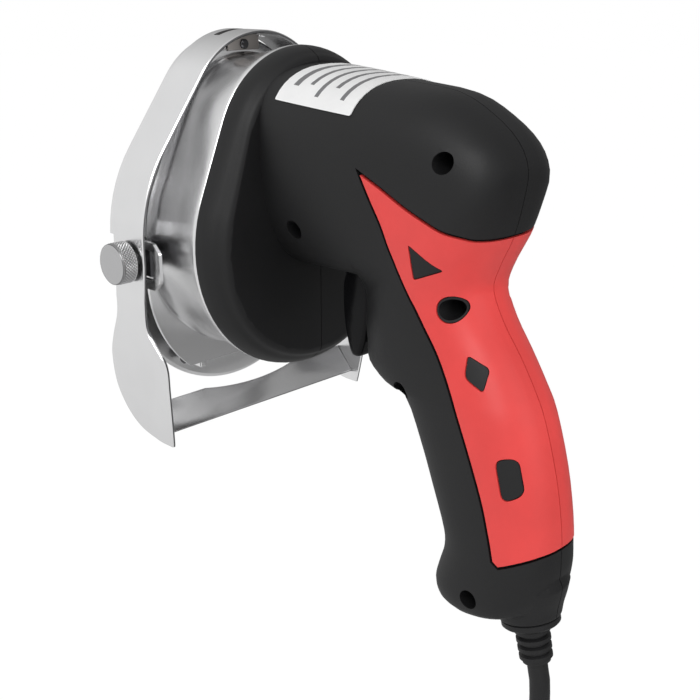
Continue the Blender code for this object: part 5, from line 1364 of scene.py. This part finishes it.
class SLICER_OT_cord(bpy.types.Operator):
    """Build the strain relief, the cord with its coil and tie, and the plug"""
    bl_idname = "slicer.cord"
    bl_label = "Cord"

    def execute(self, context):
        sizes = context.scene.slicer_sizes
        self.relief(sizes.rib_count)
        coil = coil_route()
        top = coil[0] + Vector((0, 0, 2 * CORD_R))
        end = coil[-1] - Vector((0, 0, TAIL_LENGTH))
        tail = [coil[-1] + (end - coil[-1]) * (a / 10) for a in range(1, 11)]
        points = [point + SHIFT for point in lead_route(top) + coil + tail]
        curve = bpy.data.curves.new("mains_cord", "CURVE")
        curve.dimensions = "3D"
        curve.bevel_depth = sizes.cord_radius
        curve.bevel_resolution = 5
        curve.use_fill_caps = True
        spline = curve.splines.new("POLY")
        spline.points.add(len(points) - 1)
        for slot, point in zip(spline.points, points):
            slot.co = (*point, 1.0)
        spline.use_smooth = True
        curve.materials.append(LOOKS["cord_rubber"])
        cord = bpy.data.objects.new("mains_cord", curve)
        context.scene.collection.objects.link(cord)
        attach(cord, "casing")
        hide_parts("cord_lead", "cord_coil")
        with_pieces = [self.tie()] + self.plug(end - Vector((0, 0, GAP)))
        return {"FINISHED"}

    def relief(self, count):
        """Ribbed sleeve with a collar."""
        profile = [(RELIEF_ROOT, 0), (RELIEF_ROOT, RELIEF_ROOT_R), (0, RELIEF_ROOT_R),
                   (0, COLLAR_R - 0.0005),
                   (0.0004, COLLAR_R), (0.0021, COLLAR_R), (0.0026, COLLAR_R - 0.0005),
                   (0.0026, 0.0058), (0.0034, 0.0050)]
        pitch = (RELIEF_LENGTH - RELIEF_FOOT) / count
        for rib in range(count):
            base = RELIEF_FOOT + rib * pitch
            radius = 0.0060 - 0.0001 * rib
            profile += [(base - 0.0002, radius - 0.0006), (base + 0.0002, radius),
                        (base + pitch * 0.50, radius), (base + pitch * 0.60, radius - 0.0006),
                        (base + pitch * 0.66, 0.0047), (base + pitch * 0.86, 0.0047)]
        end = RELIEF_LENGTH
        profile = profile[:-2] + [(end, RELIEF_END_R), (end, RELIEF_BORE_R),
                                  (end - 0.002, RELIEF_BORE_R), (end - 0.002, 0)]
        relief = draft("ribbed_relief", turned(profile, RELIEF_AXIS, 64, RELIEF_START))
        finish_piece(relief, "cord_rubber", "casing", "strain_relief", 28.0)

    def tie(self):
        """Flat loop that holds the coil together."""
        y0, z0 = COIL_CENTRE
        spread = COIL_PITCH * COIL_TURNS / 2 + CORD_R + 0.0002
        half_x = COIL_PITCH / 2 + CORD_R + 0.0002
        middle = y0 - COIL_MEAN_R + COIL_PITCH / 4
        wide = TIE_HALF_Z
        rings = []
        for grow, z in ((0.0, -wide), (0.0009, -wide), (0.0011, -wide + 0.0004),
                        (0.0011, wide - 0.0004), (0.0009, wide), (0.0, wide)):
            x = half_x + grow
            low, high = middle - spread - grow, middle + spread + grow
            corners = rounded([(-x, low), (x, low), (x, high), (-x, high)], 0.0030, 8)
            rings.append([(x, y, z0 + z) for x, y in corners])
        tie = draft("cord_strap", loft(rings, closed=True))
        return finish_piece(tie, "tie_plastic", "casing", "cord_tie", 50.0)

    def plug(self, top):
        """Flat two-pin plug."""
        rings = []
        for depth, half_x, half_y in catmull(PLUG_ROWS, 4):
            ring = []
            for step in range(64):
                angle = 2 * math.pi * step / 64
                x, y = (math.copysign(abs(value) ** 0.6, value)
                        for value in (math.cos(angle), math.sin(angle)))
                ring.append((top.x + half_x * x, top.y + half_y * y, top.z - depth))
            rings.append(ring)
        body = draft("moulded_plug", loft(rings))
        socket = PLUG_LENGTH - PIN_SOCKET
        start, end = socket + GAP, PLUG_LENGTH + PIN_LENGTH
        nose = catmull([(end - 0.0016, PIN_R), (end - 0.0007, PIN_R * 0.85),
                        (end, PIN_R * 0.45)], 4)
        profile = [(start, 0), (start, PIN_R)] + nose + [(end, 0)]
        pins = []
        for side, sign in SIDES:
            base = (top.x + sign * PIN_SPACING / 2, top.y, top.z)
            carve(body, rod(socket, PLUG_LENGTH + 0.002, PIN_R + 0.0001, DOWN, 40, base))
            pin = draft("contact_pin_" + side, turned(profile, DOWN, 40, base))
            pins.append(finish_piece(pin, "turned_steel", "casing", "plug_pin_" + side, 40.0))
        return [finish_piece(body, "cord_rubber", "casing", "plug_body", 40.0)] + pins


# Inner pieces

class SLICER_OT_inner_parts(bpy.types.Operator):
    """Give the motor, gears, bearings and switch their finishes"""
    bl_idname = "slicer.inner_parts"
    bl_label = "Inner parts"

    def execute(self, context):
        for look, names in INNER_FINISHES.items():
            for name in names:
                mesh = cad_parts[name].data
                mesh.materials.clear()
                mesh.materials.append(LOOKS[look])
        return {"FINISHED"}


class SLICER_OT_looks(bpy.types.Operator):
    """Make every material"""
    bl_idname = "slicer.looks"
    bl_label = "Materials"

    def execute(self, context):
        scene = context.scene
        build_looks(scene.slicer_colours, scene.slicer_sizes.knurl_depth)
        return {"FINISHED"}


# Stage

def aimed(data, place, way):
    """A lamp or camera object at a place, that looks along a vector."""
    made = bpy.data.objects.new(data.name, data)
    made.location = place
    made.rotation_mode = "QUATERNION"
    made.rotation_quaternion = way.to_track_quat("-Z", "Y")
    bpy.context.scene.collection.objects.link(made)
    return made


def mirrored_tone(tree, kind, tones):
    """Brightness that polished metal sees, rising along x."""
    split = node(tree, "SeparateXYZ", {0: coordinates(tree, kind)})
    start, end, low, high = tones
    return map_range(tree, split.outputs["X"], low, high, start, end)


class SLICER_OT_stage(bpy.types.Operator):
    """Build the floor, the lights and the camera"""
    bl_idname = "slicer.stage"
    bl_label = "Stage"

    def execute(self, context):
        scene = context.scene
        bm = bmesh.new()
        bmesh.ops.create_grid(bm, x_segments=1, y_segments=1, size=6.0)
        floor = draft("floor", bm)
        floor.data.transform(Matrix.Translation((0, 0, CAD_BOUNDS[0].z - FLOOR_DROP)))
        floor.data.materials.append(self.floor_look(tuple(scene.slicer_colours.floor)))
        self.world()
        for name, place, size, power, mirrored in LAMPS:
            lamp = bpy.data.lights.new(name, "AREA")
            lamp.energy = power
            lamp.size = size
            aimed(lamp, place, Vector(LAMP_TARGET) - Vector(place)).visible_glossy = mirrored
        data = bpy.data.cameras.new("camera")
        data.lens = CAMERA_LENS
        data.sensor_width = 36.0
        data.clip_start = 0.01
        data.clip_end = 50.0
        back = Vector((math.sin(CAMERA_AZIMUTH) * math.cos(CAMERA_ELEVATION),
                       -math.cos(CAMERA_AZIMUTH) * math.cos(CAMERA_ELEVATION),
                       math.sin(CAMERA_ELEVATION)))
        scene.camera = aimed(data, CAMERA_PLACE, -back)
        scene.view_settings.view_transform = "Standard"
        return {"FINISHED"}

    def floor_look(self, colour):
        """Pale floor that shows white to the camera and to polished metal, and keeps shadows."""
        made, tree, shader = principled("pale_floor", colour, 0.9)
        path = node(tree, "LightPath").outputs
        brightness = node(tree, "Mix", {"Factor": path["Is Glossy Ray"], "A": FLOOR_WHITE,
                                        "B": mirrored_tone(tree, "Object", FLOOR_TONES)},
                          data_type="FLOAT")
        glow = node(tree, "Emission", {"Strength": brightness.outputs[0]})
        share = math_node(tree, "MAXIMUM",
                          math_node(tree, "MULTIPLY", path["Is Camera Ray"], FLOOR_SEEN),
                          math_node(tree, "MULTIPLY", path["Is Glossy Ray"], FLOOR_MIRRORED))
        mix = node(tree, "MixShader", {0: share, 1: shader.outputs[0], 2: glow.outputs[0]})
        tree.links.new(mix.outputs[0], tree.nodes["Material Output"].inputs["Surface"])
        return made

    def world(self):
        """White surroundings, plainer for the light that falls on the object."""
        world = bpy.data.worlds.new("studio")
        world.use_nodes = True
        tree = world.node_tree
        back = tree.nodes["Background"]
        back.inputs["Color"].default_value = (1.0, 1.0, 1.0, 1.0)
        path = node(tree, "LightPath").outputs
        shiny = math_node(tree, "MULTIPLY", path["Is Glossy Ray"],
                          mirrored_tone(tree, "Generated", WORLD_TONES))
        other = math_node(tree, "SUBTRACT", 1.0, path["Is Glossy Ray"])
        plain = math_node(tree, "MULTIPLY", other, AMBIENT)
        total = math_node(tree, "MAXIMUM", path["Is Camera Ray"],
                          math_node(tree, "ADD", shiny, plain))
        tree.links.new(total, back.inputs["Strength"])
        bpy.context.scene.world = world


class SLICER_PT_panel(bpy.types.Panel):
    """Lists the sizes, the colours and every step of the build"""
    bl_idname = "SLICER_PT_panel"
    bl_label = "Slicer"
    bl_space_type = "VIEW_3D"
    bl_region_type = "UI"
    bl_category = "Slicer"

    def draw(self, context):
        layout = self.layout
        for holder in (context.scene.slicer_sizes, context.scene.slicer_colours):
            column = layout.column()
            for key in holder.__annotations__:
                column.prop(holder, key)
        for step in STEPS:
            layout.operator(step.bl_idname)


STEPS = (SLICER_OT_looks, SLICER_OT_stage, SLICER_OT_cord, SLICER_OT_casing, SLICER_OT_covers,
         SLICER_OT_casing_screws, SLICER_OT_gear_housing, SLICER_OT_guard, SLICER_OT_slice_guide,
         SLICER_OT_clamps, SLICER_OT_blade, SLICER_OT_trigger, SLICER_OT_inner_parts)
CLASSES = (SlicerSizes, SlicerColours, *STEPS, SLICER_PT_panel)


def register():
    """Register the classes and hang the properties on the scene."""
    for made in CLASSES:
        bpy.utils.register_class(made)
    bpy.types.Scene.slicer_sizes = PointerProperty(type=SlicerSizes)
    bpy.types.Scene.slicer_colours = PointerProperty(type=SlicerColours)


def unregister():
    """Take the properties and classes away again."""
    del bpy.types.Scene.slicer_colours
    del bpy.types.Scene.slicer_sizes
    for made in reversed(CLASSES):
        bpy.utils.unregister_class(made)


def main():
    """Run every step in order."""
    register()
    for step in STEPS:
        area, name = step.bl_idname.split(".")
        getattr(getattr(bpy.ops, area), name)()


if __name__ == "__main__":
    main()
